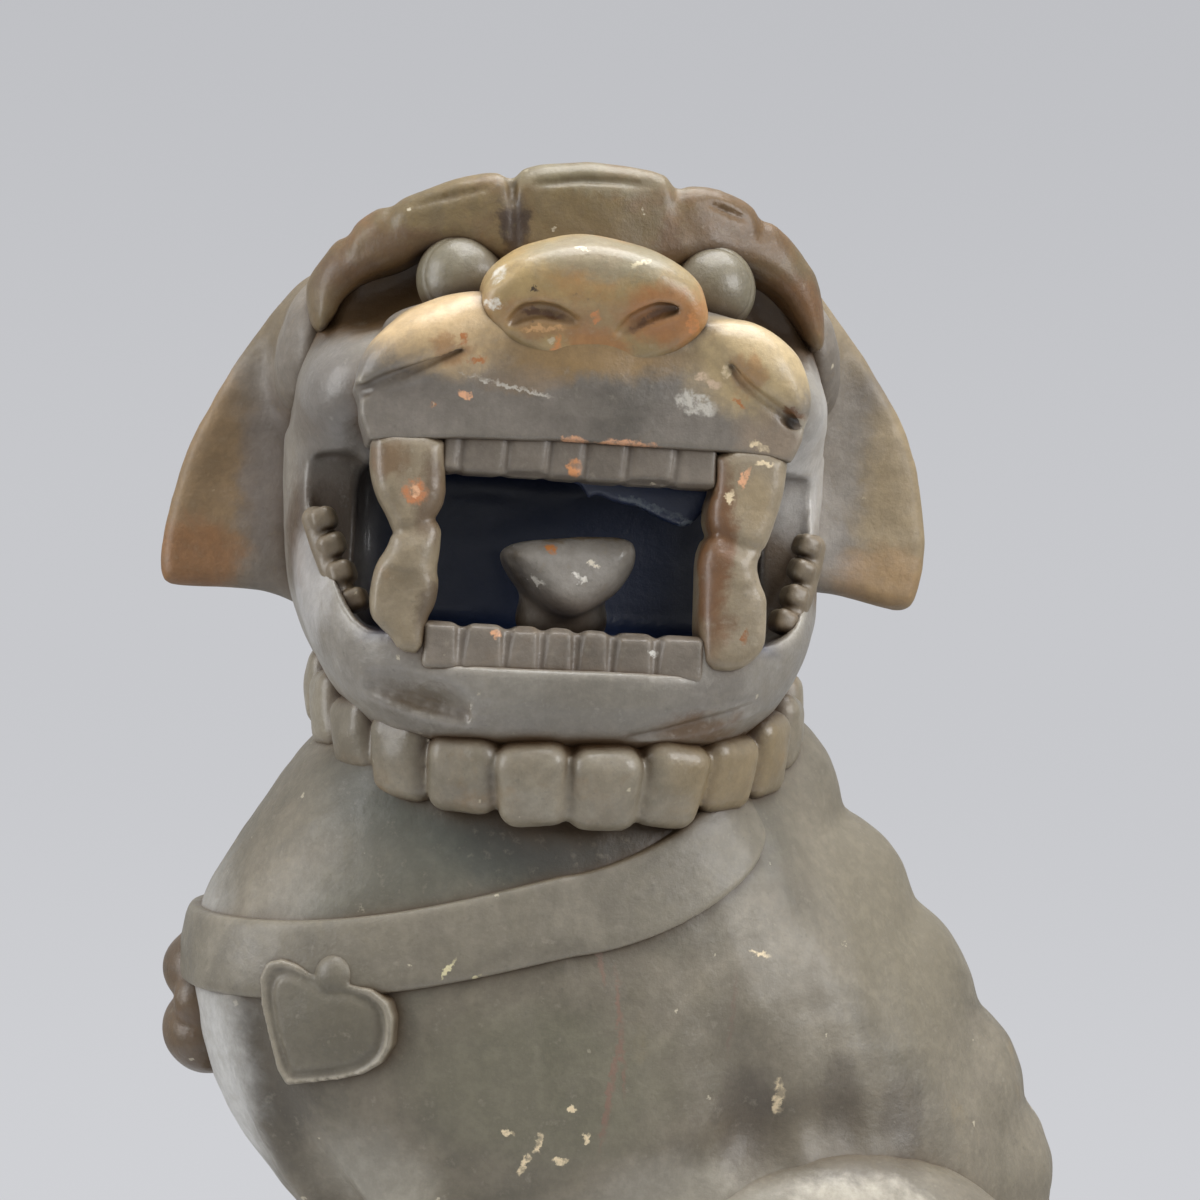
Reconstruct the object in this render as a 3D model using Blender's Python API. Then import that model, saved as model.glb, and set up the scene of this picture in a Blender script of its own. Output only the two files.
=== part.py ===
# A carved jade guardian lion: it sits in profile on its plinth, with its head turned to the side.
# Units are metres and +Z is up. The origin is the middle of the plinth's underside. The lion's body
# faces -X and its head faces -Y, so its own left flank and its face are both on the -Y side.
import math

import bmesh
import bpy
from mathutils import Matrix, Vector

# Gap left between two carved forms that lie against each other.
GAP = 0.0003

# The plinth.
PLINTH_LENGTH = 0.128
PLINTH_WIDTH = 0.080
PLINTH_HEIGHT = 0.020
PLINTH_CORNER = 0.007
PLINTH_EDGE = 0.0025
PLINTH_GROOVE = 0.0013
PLINTH_GROOVE_HALF = 0.00035
PLINTH_GROOVE_HEIGHTS = (0.00585, 0.01445)

# The torso: height above the plinth, and how far the chest, back and flanks reach from its axis.
BODY_HEIGHT = 0.120
CHEST_DEPTH = 0.0533
RUMP_DEPTH = 0.0535
BODY_HALF_WIDTH = 0.031
BODY_SQUARE_RATIO = 2.4
# Rows from seat to neck: share of the height, of the chest's reach, of the back's and of the width.
BODY_PROFILE = (
    (0.008, -0.08, 0.80, 0.58),
    (0.083, 0.04, 0.92, 0.70),
    (0.200, 0.22, 0.99, 0.81),
    (0.317, 0.49, 1.00, 0.89),
    (0.417, 0.72, 0.98, 0.95),
    (0.517, 0.90, 0.92, 1.00),
    (0.617, 0.985, 0.82, 1.00),
    (0.683, 1.00, 0.73, 0.985),
    (0.750, 0.955, 0.61, 0.95),
    (0.817, 0.865, 0.48, 0.90),
    (0.875, 0.78, 0.37, 0.84),
    (0.925, 0.69, 0.28, 0.77),
    (1.000, 0.63, 0.20, 0.70),
)

# Haunches and hind paws.
HAUNCH_RADIUS = 0.032
HAUNCH_THICKNESS = 0.014
HAUNCH_X = 0.023
HAUNCH_SINK = 0.008
HAUNCH_SQUARENESS = 3.4
HIND_PAW_LENGTH = 0.030
HIND_PAW_WIDTH = 0.016
HIND_PAW_HEIGHT = 0.012
HIND_PAW_X = -0.013

# Front legs, front paws and the ball under the right paw.
LEG_SPREAD = 0.0205
SHOULDER_RADIUS = 0.0125
WRIST_RADIUS = 0.0075
ELBOW_X = -0.032
ELBOW_HEIGHT = 0.030
SHOULDER_HEIGHT = 0.042
SHOULDER_X = -0.021
PAW_X = -0.042
PAW_LENGTH = 0.026
PAW_WIDTH = 0.018
PAW_HEIGHT = 0.0125
TOE_COUNT = 4
BALL_RADIUS = 0.0125

# Tail and spine.
TAIL_HEIGHT = 0.050
TAIL_WIDTH = 0.011
TAIL_THICKNESS = 0.005
TAIL_BASE = 0.004
SPINE_LOBE_WIDTH = 0.0100
SPINE_LOBE_DEPTH = 0.0056
# The notches between the scallops of the back, as heights above the plinth.
SPINE_NOTCHES = (0.0400, 0.0525, 0.0648, 0.0772, 0.0899, 0.1013, 0.1090)

# Head: where it sits on the neck, then the skull, measured from the middle of the mouth.
HEAD_X = -0.011
HEAD_RISE = 0.010
CHEEK_HALF_WIDTH = 0.031
SKULL_HEIGHT = 0.0455
FACE_DEPTH = 0.0225
NAPE_DEPTH = 0.025
# Rows up the skull: share of its height, of the cheek's width, of the face's depth and the nape's.
SKULL_PROFILE = (
    (-0.33, 0.74, 0.53, 0.76),
    (-0.11, 0.92, 0.58, 0.92),
    (0.18, 1.00, 0.73, 1.00),
    (0.44, 1.00, 0.96, 1.00),
    (0.66, 0.95, 1.00, 0.96),
    (0.82, 0.84, 0.87, 0.78),
    (0.945, 0.58, 0.60, 0.52),
)
JAW_DEPTH = 0.0205
JAW_REACH = 0.035
JAW_BACK = 0.018
# Rows down the jaw: share of its depth, of the cheek's width, of its reach forward and back.
JAW_PROFILE = (
    (-0.30, 1.00, 0.943, 1.00),
    (0.28, 0.975, 1.00, 1.00),
    (0.60, 0.90, 0.986, 0.78),
    (0.85, 0.77, 0.914, 0.44),
    (1.00, 0.60, 0.786, 0.11),
)
LIP_HEIGHT = -0.0115
MOUTH_TOP = 0.012
MOUTH_BACK = -0.010
MOUTH_HALF_WIDTH = 0.0245
MOUTH_FLOOR = -0.0085
MOUTH_ROUNDING = 0.002
CORNER_Y = -0.0165
CORNER_HEIGHT = 0.0095

# Upper jaw with its lip pads and nose.
MUZZLE_HALF_WIDTH = 0.0245
MUZZLE_FRONT = 0.0370
MUZZLE_TOP = 0.028
MUZZLE_BACK = 0.010
MUZZLE_ROUNDING = 0.005
PAD_LENGTH = 0.0095
PAD_RADIUS = 0.0060
PAD_X = 0.0165
PAD_HEIGHT = 0.0225
PAD_TILT = math.radians(24)
NOSE_HALF_WIDTH = 0.0133
NOSE_HALF_HEIGHT = 0.0064
NOSE_DEPTH = 0.0062
NOSE_HEIGHT = 0.0297

# Eyes, brow and ears.
EYE_RADIUS = 0.0054
EYE_X = 0.0150
EYE_HEIGHT = 0.0325
EYE_Y = -0.0235
BROW_RADIUS = 0.0052
BROW_LOBES = (0.0110, 0.0062, 0.0042, 0.0034)
BROW_ARC_WIDTH = 0.0315
BROW_ARC_RISE = 0.0120
BROW_TOP = 0.0412
BROW_Y = -0.0190
EAR_REACH = 0.0175
EAR_HEIGHT = 0.0415
EAR_BOTTOM = -0.0040
EAR_THICKNESS = 0.0052
EAR_ROOT = 0.0305
EAR_LEAN = math.radians(8)
# Each ear's outer edge from the bottom up, as shares of its reach and height. The two differ, as carved.
EAR_EDGES = {
    "right": ((0.97, 0.0), (1.0, 0.09), (0.955, 0.24), (0.845, 0.41), (0.655, 0.59), (0.465, 0.745), (0.27, 0.86), (0.09, 0.95)),
    "left": ((0.96, 0.035), (1.02, 0.14), (1.02, 0.29), (0.94, 0.50), (0.79, 0.67), (0.63, 0.795), (0.39, 0.92), (0.14, 0.99)),
}

# Fangs, teeth and tongue.
FANG_X = 0.0190
FANG_WIDTH = 0.0084
FANG_WAIST = 0.0056
FANG_DEPTH = 0.0070
UPPER_TEETH = 8
LOWER_TEETH = 7
TOOTH_HEIGHT = 0.0038
TOOTH_DEPTH = 0.0046
TEETH_SETBACK = 0.0012
MOLAR_COUNT = 3
MOLAR_SIZE = 0.0042
TONGUE_WIDTH = 0.0150
TONGUE_HEIGHT = 0.0100
TONGUE_LENGTH = 0.0170

# Mane curls on the back of the head, in rows from the crown down.
CURL_RADIUS = 0.0066
CURL_DEPTH = 0.0046
MANE_LAYER = 0.0020
# Rows of curls: share of the skull's height, and how many.
CURL_ROWS = ((0.79, 3), (0.55, 4), (0.27, 5), (0.0, 4))
CURL_STEP = math.radians(34)

# Collar of beads, harness strap, chest bell and heart plaques.
COLLAR_RADIUS = 0.0283
COLLAR_DROP = 0.0165
COLLAR_Y = -0.002
COLLAR_TILT = math.radians(18)
BEAD_COUNT = 22
BEAD_HEIGHT = 0.0092
BEAD_DEPTH = 0.0086
STRAP_WIDTH = 0.0090
STRAP_THICKNESS = 0.0015
STRAP_DROP = 0.038
STRAP_CLIMB = 0.032
STRAP_STEPS = 44
STRAP_END = math.radians(42)
BELL_RADIUS = 0.0065
HEART_WIDTH = 0.0145
HEART_THICKNESS = 0.0024
HEART_BEVEL = 0.0006
HEART_KNOB = 0.0020
HEART_CLEFT = 0.66
HEART_DROP = 0.0055
HEART_AZIMUTH = math.radians(230)
HEART_TILT = math.radians(-14)

# How far a form is sunk into its neighbour before it is cut back to the gap.
SINK = 0.003

# Rows along one lobe of a beaded form: share of its length, and share of its full thickness.
LOBE_ROWS = ((0.0, 0.66), (0.16, 0.90), (0.5, 1.0), (0.84, 0.90))

forms = []
# What is cut out of a form before smaller forms are fitted into it.
openings = {}


def clear_scene():
    for old in list(bpy.data.objects):
        bpy.data.objects.remove(old, do_unlink=True)


def stone(name, colour, roughness):
    made = bpy.data.materials.new(name)
    made.use_nodes = True
    shader = made.node_tree.nodes["Principled BSDF"]
    shader.inputs["Base Color"].default_value = (*colour, 1.0)
    shader.inputs["Roughness"].default_value = roughness
    shader.inputs["Metallic"].default_value = 0.0
    return made


def put(name, mesh, material, parent, location=(0, 0, 0), rotation=(0, 0, 0)):
    # Every carved form is one object. Their order is the order of size: later ones give way.
    made = bpy.data.objects.new(name, mesh)
    bpy.context.scene.collection.objects.link(made)
    made.parent = parent
    made.location = location
    made.rotation_euler = rotation
    mesh.materials.append(material)
    mesh.shade_smooth()
    mesh.set_sharp_from_angle(angle=math.radians(45))
    forms.append(made)
    return made


def mesh_from(name, bm):
    bmesh.ops.recalc_face_normals(bm, faces=bm.faces)
    mesh = bpy.data.meshes.new(name)
    bm.to_mesh(mesh)
    bm.free()
    return mesh


def add_ball(bm, centre, radii, turn=None, segments=12, rings=8):
    # A ball stretched to three radii, turned by a matrix and moved to its centre.
    made = bmesh.ops.create_uvsphere(bm, u_segments=segments, v_segments=rings, radius=1.0)
    shape = Matrix.Translation(centre) @ (turn or Matrix()) @ Matrix.Diagonal((*radii, 1.0))
    bmesh.ops.transform(bm, matrix=shape, verts=made["verts"])


def ball(name, radii, segments=16, rings=10):
    bm = bmesh.new()
    add_ball(bm, (0, 0, 0), radii, segments=segments, rings=rings)
    return mesh_from(name, bm)


def ring(centre, across, along, half_across, half_along, sides, squareness=2.0):
    # One closed section: a superellipse in the plane of its two unit vectors.
    points = []
    for i in range(sides):
        angle = 2 * math.pi * i / sides
        c, s = math.cos(angle), math.sin(angle)
        u = math.copysign(abs(c) ** (2 / squareness), c) * half_across
        v = math.copysign(abs(s) ** (2 / squareness), s) * half_along
        points.append(centre + across * u + along * v)
    return points


def loft(name, rings, closed=False):
    # Sections joined one to the next, with a flat cap at each end or the last joined to the first.
    bm = bmesh.new()
    made = [[bm.verts.new(p) for p in points] for points in rings]
    following = made[1:] + made[:1] if closed else made[1:]
    for low, high in zip(made, following):
        for i in range(len(low)):
            j = (i + 1) % len(low)
            bm.faces.new((low[i], low[j], high[j], high[i]))
    if not closed:
        bm.faces.new(reversed(made[0]))
        bm.faces.new(made[-1])
    return mesh_from(name, bm)


def lobed(name, lobes, section, closed=False):
    # A row of swellings with a neck between them, as one solid. Lobes are (start, end) along a path,
    # and section(along, swell) gives the ring of points there.
    rings = []
    for start, end in lobes:
        for share, swell in LOBE_ROWS:
            rings.append(section(start + (end - start) * share, swell))
    if not closed:
        rings.append(section(lobes[-1][1], LOBE_ROWS[0][1]))
    return loft(name, rings, closed)


def limb(name, path, sides=12):
    # A tapering limb: path holds (point, half width across Y, half depth) from root to tip.
    y_axis = Vector((0, 1, 0))
    rings = []
    for i, (point, half_width, half_depth) in enumerate(path):
        before = Vector(path[max(i - 1, 0)][0])
        after = Vector(path[min(i + 1, len(path) - 1)][0])
        tangent = (after - before).normalized()
        rings.append(ring(Vector(point), y_axis, tangent.cross(y_axis), half_width, half_depth, sides))
    return loft(name, rings)


def plate(name, outline, thickness, bevel=0.0):
    # An outline in X and Z, extruded to a thickness that is centred on Y.
    bm = bmesh.new()
    face = bm.faces.new([bm.verts.new((x, -thickness / 2, z)) for x, z in outline])
    made = bmesh.ops.extrude_face_region(bm, geom=[face])
    verts = [v for v in made["geom"] if isinstance(v, bmesh.types.BMVert)]
    bmesh.ops.translate(bm, verts=verts, vec=(0, thickness, 0))
    if bevel:
        rims = [e for e in bm.edges if abs(e.verts[0].co.y - e.verts[1].co.y) < thickness / 2]
        bmesh.ops.bevel(bm, geom=rims, offset=bevel, segments=1, affect="EDGES")
    return mesh_from(name, bm)


def add_block(bm, centre, size, bevel):
    made = bmesh.ops.create_cube(bm, size=1.0)
    shape = Matrix.Translation(centre) @ Matrix.Diagonal((*size, 1.0))
    bmesh.ops.transform(bm, matrix=shape, verts=made["verts"])
    edges = {e for v in made["verts"] for e in v.link_edges}
    bmesh.ops.bevel(bm, geom=list(edges), offset=bevel, segments=1, affect="EDGES")


def profile_at(rows, height):
    # The row at a height, read smoothly between the rows that are written out.
    heights = [row[0] for row in rows]
    height = min(max(height, heights[0]), heights[-1])
    i = max(k for k in range(len(rows) - 1) if heights[k] <= height)
    span = heights[i + 1] - heights[i]
    t = (height - heights[i]) / span
    read = []
    for column in range(1, len(rows[0])):
        before, a, b, after = (rows[min(max(i + k, 0), len(rows) - 1)][column] for k in (-1, 0, 1, 2))
        slope_a, slope_b = (b - before) / 2, (after - a) / 2
        read.append(
            a * (2 * t**3 - 3 * t**2 + 1)
            + b * (3 * t**2 - 2 * t**3)
            + slope_a * (t**3 - 2 * t**2 + t)
            + slope_b * (t**3 - t**2)
        )
    return read


def torso_section(height):
    # Middle, half length and half width of the torso at a height above the plinth.
    chest, back, width = profile_at(BODY_PROFILE, height / BODY_HEIGHT)
    front_x, back_x = -chest * CHEST_DEPTH, back * RUMP_DEPTH
    return (front_x + back_x) / 2, (back_x - front_x) / 2, width * BODY_HALF_WIDTH


def torso_point(height, azimuth, proud=0.0):
    # A point on the torso's skin, or standing proud of it. Azimuth 0 is +X and 180 degrees the chest.
    middle, half_length, half_width = torso_section(height)
    c, s = math.cos(azimuth), math.sin(azimuth)
    x = math.copysign(abs(c) ** (2 / BODY_SQUARE_RATIO), c) * (half_length + proud)
    y = math.copysign(abs(s) ** (2 / BODY_SQUARE_RATIO), s) * (half_width + proud)
    return Vector((middle + x, y, height))


def torso_frame(height, azimuth):
    # A frame on the skin: +Y runs up it and -Y of the piece's own plate faces outwards along -Y here.
    step = BODY_HEIGHT / 120
    up = torso_point(height + step, azimuth) - torso_point(height - step, azimuth)
    around = torso_point(height, azimuth + 0.01) - torso_point(height, azimuth - 0.01)
    outward = around.cross(up).normalized()
    across = up.cross(outward).normalized()
    up = outward.cross(across)
    frame = Matrix((across, -outward, up)).transposed().to_4x4()
    return Matrix.Translation(torso_point(height, azimuth)) @ frame


def boolean(target, cutter, operation="DIFFERENCE"):
    cut = target.modifiers.new(cutter.name, "BOOLEAN")
    cut.operation = operation
    cut.object = cutter


def hidden(name, mesh, parent, location=(0, 0, 0), rotation=(0, 0, 0)):
    made = bpy.data.objects.new(name, mesh)
    bpy.context.scene.collection.objects.link(made)
    made.parent = parent
    made.location = location
    made.rotation_euler = rotation
    made.hide_render = True
    made.display_type = "WIRE"
    return made


def clearance_of(form):
    # A copy of the form as it was before it was cut, with its skin moved out by the gap.
    bm = bmesh.new()
    bm.from_mesh(form.data)
    bm.normal_update()
    moved = [(v, v.co + v.normal * GAP * min(v.calc_shell_factor(), 1.5)) for v in bm.verts]
    for v, place in moved:
        v.co = place
    mesh = bpy.data.meshes.new(form.name + "_clearance")
    bm.to_mesh(mesh)
    bm.free()
    made = hidden(mesh.name, mesh, form.parent, form.location, form.rotation_euler)
    for cutter in openings.get(form, ()):
        boolean(made, cutter)
    return made


def box_of(form):
    corners = [form.matrix_world @ Vector(c) for c in form.bound_box]
    low = Vector(min(c[i] for c in corners) for i in range(3))
    high = Vector(max(c[i] for c in corners) for i in range(3))
    return low, high


def boxes_meet(one, other):
    (low_a, high_a), (low_b, high_b) = box_of(one), box_of(other)
    return all(low_a[i] <= high_b[i] + GAP and low_b[i] <= high_a[i] + GAP for i in range(3))


def cut_back_forms():
    # Each form gives way to every larger form that it meets, and keeps the gap to it.
    bpy.context.view_layer.update()
    clearances = {}
    for i, form in enumerate(forms):
        for larger in forms[:i]:
            if not boxes_meet(form, larger):
                continue
            if larger not in clearances:
                clearances[larger] = clearance_of(larger)
            boolean(form, clearances[larger])


def make_plinth(jade):
    # A slab with rounded corners, softened edges and two grooves round its sides.
    corner = PLINTH_CORNER
    half_length, half_width = PLINTH_LENGTH / 2, PLINTH_WIDTH / 2
    outline = []
    for quarter in range(4):
        sign_x, sign_y = ((1, 1), (-1, 1), (-1, -1), (1, -1))[quarter]
        for step in range(5):
            angle = (quarter + step / 4) * math.pi / 2
            outline.append(
                (
                    sign_x * (half_length - corner) + corner * math.cos(angle),
                    sign_y * (half_width - corner) + corner * math.sin(angle),
                )
            )
    levels = [(0.0, PLINTH_EDGE / 2), (PLINTH_EDGE / 2, 0.0)]
    for middle in PLINTH_GROOVE_HEIGHTS:
        mouth = PLINTH_GROOVE_HALF + PLINTH_GROOVE * 0.7
        levels += [
            (middle - mouth, 0.0),
            (middle - PLINTH_GROOVE_HALF, PLINTH_GROOVE),
            (middle + PLINTH_GROOVE_HALF, PLINTH_GROOVE),
            (middle + mouth, 0.0),
        ]
    levels += [
        (PLINTH_HEIGHT - PLINTH_EDGE, 0.0),
        (PLINTH_HEIGHT - PLINTH_EDGE * 0.3, PLINTH_EDGE * 0.3),
        (PLINTH_HEIGHT, PLINTH_EDGE),
    ]
    rings = [
        [Vector((x * (1 - inset / half_length), y * (1 - inset / half_width), z)) for x, y in outline]
        for z, inset in levels
    ]
    put("plinth", loft("plinth", rings), jade, None)


def make_torso(jade, figure):
    steps, sides = 15, 28
    x_axis, y_axis = Vector((1, 0, 0)), Vector((0, 1, 0))
    rings = []
    for i in range(steps + 1):
        low, high = BODY_PROFILE[0][0], BODY_PROFILE[-1][0]
        height = (low + (high - low) * i / steps) * BODY_HEIGHT
        middle, half_length, half_width = torso_section(height)
        centre = Vector((middle, 0, height))
        rings.append(ring(centre, x_axis, y_axis, half_length, half_width, sides, BODY_SQUARE_RATIO))
    put("torso", loft("torso", rings), jade, figure)


def drum(name, radius, half_depth, squareness, sides, rows):
    # A round drum about Y, flat in the middle of its face and rounded at its rim.
    rings = []
    for i in range(rows):
        angle = math.pi * ((i + 0.5) / rows - 0.5)
        c, s = math.cos(angle), math.sin(angle)
        across = radius * c ** (2 / squareness)
        y = math.copysign(abs(s) ** (2 / squareness), s) * half_depth
        rings.append(ring(Vector((0, y, 0)), Vector((1, 0, 0)), Vector((0, 0, 1)), across, across, sides))
    return loft(name, rings)


def make_haunches(jade, figure):
    for side, sign in (("left", -1), ("right", 1)):
        name = f"haunch_{side}"
        mesh = drum(name, HAUNCH_RADIUS, HAUNCH_THICKNESS, HAUNCH_SQUARENESS, 32, 14)
        y = sign * (BODY_HALF_WIDTH - HAUNCH_SINK - GAP)
        put(name, mesh, jade, figure, (HAUNCH_X, y, HAUNCH_RADIUS))


def skull_row(height):
    # Half width, front and back of the skull at a height above the middle of the mouth.
    width, face, nape = profile_at(SKULL_PROFILE, height / SKULL_HEIGHT)
    return width * CHEEK_HALF_WIDTH, -face * FACE_DEPTH, nape * NAPE_DEPTH


def skull_section(row, sides):
    height, half_width, front, back = row
    centre = Vector((0, (front + back) / 2, height))
    return ring(centre, Vector((1, 0, 0)), Vector((0, 1, 0)), half_width, (back - front) / 2, sides, 2.5)


def make_skull(jade, head):
    sides, steps = 28, 12
    low, high = SKULL_PROFILE[0][0], SKULL_PROFILE[-1][0]
    rings = []
    for i in range(steps + 1):
        height = (low + (high - low) * i / steps) * SKULL_HEIGHT
        rings.append(skull_section((height, *skull_row(height)), sides))
    crown = (CHEEK_HALF_WIDTH * 0.26, -FACE_DEPTH * 0.27, NAPE_DEPTH * 0.24)
    rings.append(skull_section((SKULL_HEIGHT, *crown), sides))
    return put("skull", loft("skull", rings), jade, head)


def make_lower_jaw(jade, head):
    rings = []
    for depth, width, reach, back in JAW_PROFILE:
        size = (width * CHEEK_HALF_WIDTH, -reach * JAW_REACH, back * JAW_BACK)
        rings.append(skull_section((-depth * JAW_DEPTH, *size), 28))
    return put("lower_jaw", loft("lower_jaw", rings), jade, head)


def mouth_cutters(head, inset):
    # The gape runs right across the face, and rises from the front lip to the corners of the mouth.
    front = -2 * MUZZLE_FRONT
    corner = CORNER_Y - inset
    gape = (
        (front, LIP_HEIGHT + inset),
        (-MUZZLE_FRONT * 0.84, LIP_HEIGHT + inset),
        (corner, CORNER_HEIGHT + inset),
        (corner, MOUTH_TOP - inset),
        (front, MOUTH_TOP - inset),
    )
    gape_mesh = plate("gape", gape, 3 * CHEEK_HALF_WIDTH)
    # The hollow behind the teeth, with the throat as its back wall.
    bm = bmesh.new()
    back, floor, roof = MOUTH_BACK - inset, MOUTH_FLOOR + inset, MOUTH_TOP - inset
    size = (2 * (MOUTH_HALF_WIDTH - inset), MUZZLE_FRONT, roof - floor)
    add_block(bm, (0, back - size[1] / 2, (roof + floor) / 2), size, MOUTH_ROUNDING)
    return [
        hidden("gape", gape_mesh, head, rotation=(0, 0, math.pi / 2)),
        hidden("mouth_hollow", mesh_from("mouth_hollow", bm), head),
    ]


def open_mouth(head, *jaws):
    wide = mouth_cutters(head, 0.0)
    narrow = mouth_cutters(head, GAP)
    for jaw in jaws:
        openings[jaw] = narrow
        for cutter in wide:
            boolean(jaw, cutter)


def make_muzzle(jade, head):
    # Rows up the upper jaw: height, share of its width, share of its reach forward.
    rows = (
        (MOUTH_TOP + GAP, 0.985, 0.965),
        (MOUTH_TOP + MUZZLE_ROUNDING * 0.4, 1.00, 0.99),
        (MOUTH_TOP + MUZZLE_ROUNDING * 1.4, 1.00, 1.00),
        (MUZZLE_TOP - MUZZLE_ROUNDING, 0.95, 0.975),
        (MUZZLE_TOP - MUZZLE_ROUNDING * 0.3, 0.86, 0.90),
        (MUZZLE_TOP, 0.74, 0.80),
    )
    rings = []
    for height, width, reach in rows:
        front, back = -reach * MUZZLE_FRONT, -MUZZLE_BACK
        centre = Vector((0, (front + back) / 2, height))
        half_width, half_depth = width * MUZZLE_HALF_WIDTH, (back - front) / 2
        rings.append(ring(centre, Vector((1, 0, 0)), Vector((0, 1, 0)), half_width, half_depth, 24, 4.0))
    put("muzzle", loft("muzzle", rings), jade, head)


def make_front_leg(jade, figure, side, sign, elbow, wrist):
    # A bowed leg that tapers from the shoulder, inside the torso, to the wrist.
    steps = 5
    path = []
    for i in range(steps + 1):
        t = i / steps
        shares = ((1 - t) ** 2, 2 * t * (1 - t), t**2)
        x = sum(a * b for a, b in zip(shares, (SHOULDER_X, elbow[0], wrist[0])))
        z = sum(a * b for a, b in zip(shares, (SHOULDER_HEIGHT, elbow[1], wrist[1])))
        radius = SHOULDER_RADIUS + (WRIST_RADIUS - SHOULDER_RADIUS) * t
        path.append(((x, sign * LEG_SPREAD, z), radius, radius))
    name = f"front_leg_{side}"
    put(name, limb(name, path, 12), jade, figure)


def paw_mesh(name, length, width, height):
    # A flat pad with toes side by side at its front, towards -X.
    bm = bmesh.new()
    add_ball(bm, (length * 0.12, 0, height * 0.5), (length * 0.40, width * 0.46, height * 0.5), None, 12, 8)
    pad = mesh_from(name, bm)
    bm = bmesh.new()
    pitch = width / TOE_COUNT
    for i in range(TOE_COUNT):
        y = (i - (TOE_COUNT - 1) / 2) * pitch
        ahead = -length * (0.20 + 0.05 * math.cos(math.pi * y / width))
        radii = (length * 0.27, pitch / 2 - GAP / 2, height * 0.40)
        add_ball(bm, (ahead, y, height * 0.42), radii, None, 8, 6)
    return pad, mesh_from(name + "_toes", bm)


def make_paw(jade, figure, name, size, location):
    pad, toes = paw_mesh(name, *size)
    toe_cutter = hidden(name + "_toes", toes, figure, location)
    paw = put(name, pad, jade, figure, location)
    boolean(paw, toe_cutter, "UNION")


def make_legs(jade, figure):
    wrist_x = PAW_X + PAW_LENGTH * 0.2
    raised = 2 * BALL_RADIUS
    wrist = PAW_HEIGHT * 0.7
    make_front_leg(jade, figure, "left", -1, (ELBOW_X, ELBOW_HEIGHT), (wrist_x, wrist))
    elbow = (ELBOW_X, ELBOW_HEIGHT + raised * 0.4)
    make_front_leg(jade, figure, "right", 1, elbow, (wrist_x, raised - PAW_HEIGHT * 0.35 + wrist))
    ball_mesh = ball("brocade_ball", (BALL_RADIUS,) * 3, 20, 12)
    ball_x = PAW_X - PAW_LENGTH * 0.08
    put("brocade_ball", ball_mesh, jade, figure, (ball_x, LEG_SPREAD, BALL_RADIUS - GAP))
    size = (PAW_LENGTH, PAW_WIDTH, PAW_HEIGHT)
    make_paw(jade, figure, "front_paw_left", size, (PAW_X, -LEG_SPREAD, -GAP))
    make_paw(jade, figure, "front_paw_right", size, (PAW_X, LEG_SPREAD, raised - PAW_HEIGHT * 0.35))
    size = (HIND_PAW_LENGTH, HIND_PAW_WIDTH, HIND_PAW_HEIGHT)
    for side, sign in (("left", -1), ("right", 1)):
        y = sign * (BODY_HALF_WIDTH - HAUNCH_SINK + HAUNCH_THICKNESS - HIND_PAW_WIDTH * 0.62)
        make_paw(jade, figure, f"hind_paw_{side}", size, (HIND_PAW_X, y, -GAP))


def make_tail(jade, figure):
    # A broad lock that rises up the rump, with a curl on each side of its root.
    rings = []
    steps = 9
    for i in range(steps):
        t = i / (steps - 1)
        height = TAIL_BASE + TAIL_HEIGHT * t
        swell = math.sin(math.pi * (0.16 + 0.80 * t))
        skin = torso_point(height, 0.0).x
        centre = Vector((skin + TAIL_THICKNESS * (0.55 - 0.45 * t), 0, height))
        half_depth = TAIL_THICKNESS * (0.5 + 0.5 * swell)
        rings.append(ring(centre, Vector((0, 1, 0)), Vector((-1, 0, 0)), TAIL_WIDTH * swell, half_depth, 12))
    tail = put("tail", loft("tail", rings), jade, figure)
    bm = bmesh.new()
    for sign in (-1, 1):
        place = torso_point(TAIL_BASE + TAIL_HEIGHT * 0.30, 0.0)
        radii = (TAIL_THICKNESS * 1.1, TAIL_WIDTH * 0.5, TAIL_WIDTH * 0.6)
        add_ball(bm, (place.x, sign * TAIL_WIDTH * 0.62, place.z), radii, None, 10, 8)
    boolean(tail, hidden("tail_curls", mesh_from("tail_curls", bm), figure), "UNION")


def make_spine(jade, figure):
    # Long scallops down the ridge of the back.
    def section(height, swell):
        slope = torso_point(height + GAP, 0.0) - torso_point(height - GAP, 0.0)
        outward = slope.normalized().cross(Vector((0, 1, 0))) * -1
        half_across, half_out = SPINE_LOBE_WIDTH * (0.5 + 0.5 * swell), SPINE_LOBE_DEPTH * (1.25 * swell - 0.25)
        return ring(torso_point(height, 0.0), Vector((0, 1, 0)), outward, half_across, half_out, 10)

    lobes = list(zip(SPINE_NOTCHES, SPINE_NOTCHES[1:]))
    put("spine_ridge", lobed("spine_ridge", lobes, section), jade, figure)


def ear_outline(side, sign):
    # A drooping flap: a round outer edge from the brow down, then a nearly level cut below.
    inner = EAR_ROOT - SINK
    points = [(sign * inner, EAR_BOTTOM)]
    for reach, height in EAR_EDGES[side]:
        points.append((sign * (EAR_ROOT + EAR_REACH * reach), EAR_BOTTOM + EAR_HEIGHT * height))
    points.append((sign * inner, EAR_BOTTOM + EAR_HEIGHT))
    return points


def make_ears(jade, head):
    for side, sign in (("left", 1), ("right", -1)):
        name = f"ear_{side}"
        mesh = plate(name, ear_outline(side, sign), EAR_THICKNESS, EAR_THICKNESS * 0.28)
        put(name, mesh, jade, head, (0, 0, 0), (0, 0, sign * EAR_LEAN))


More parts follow.
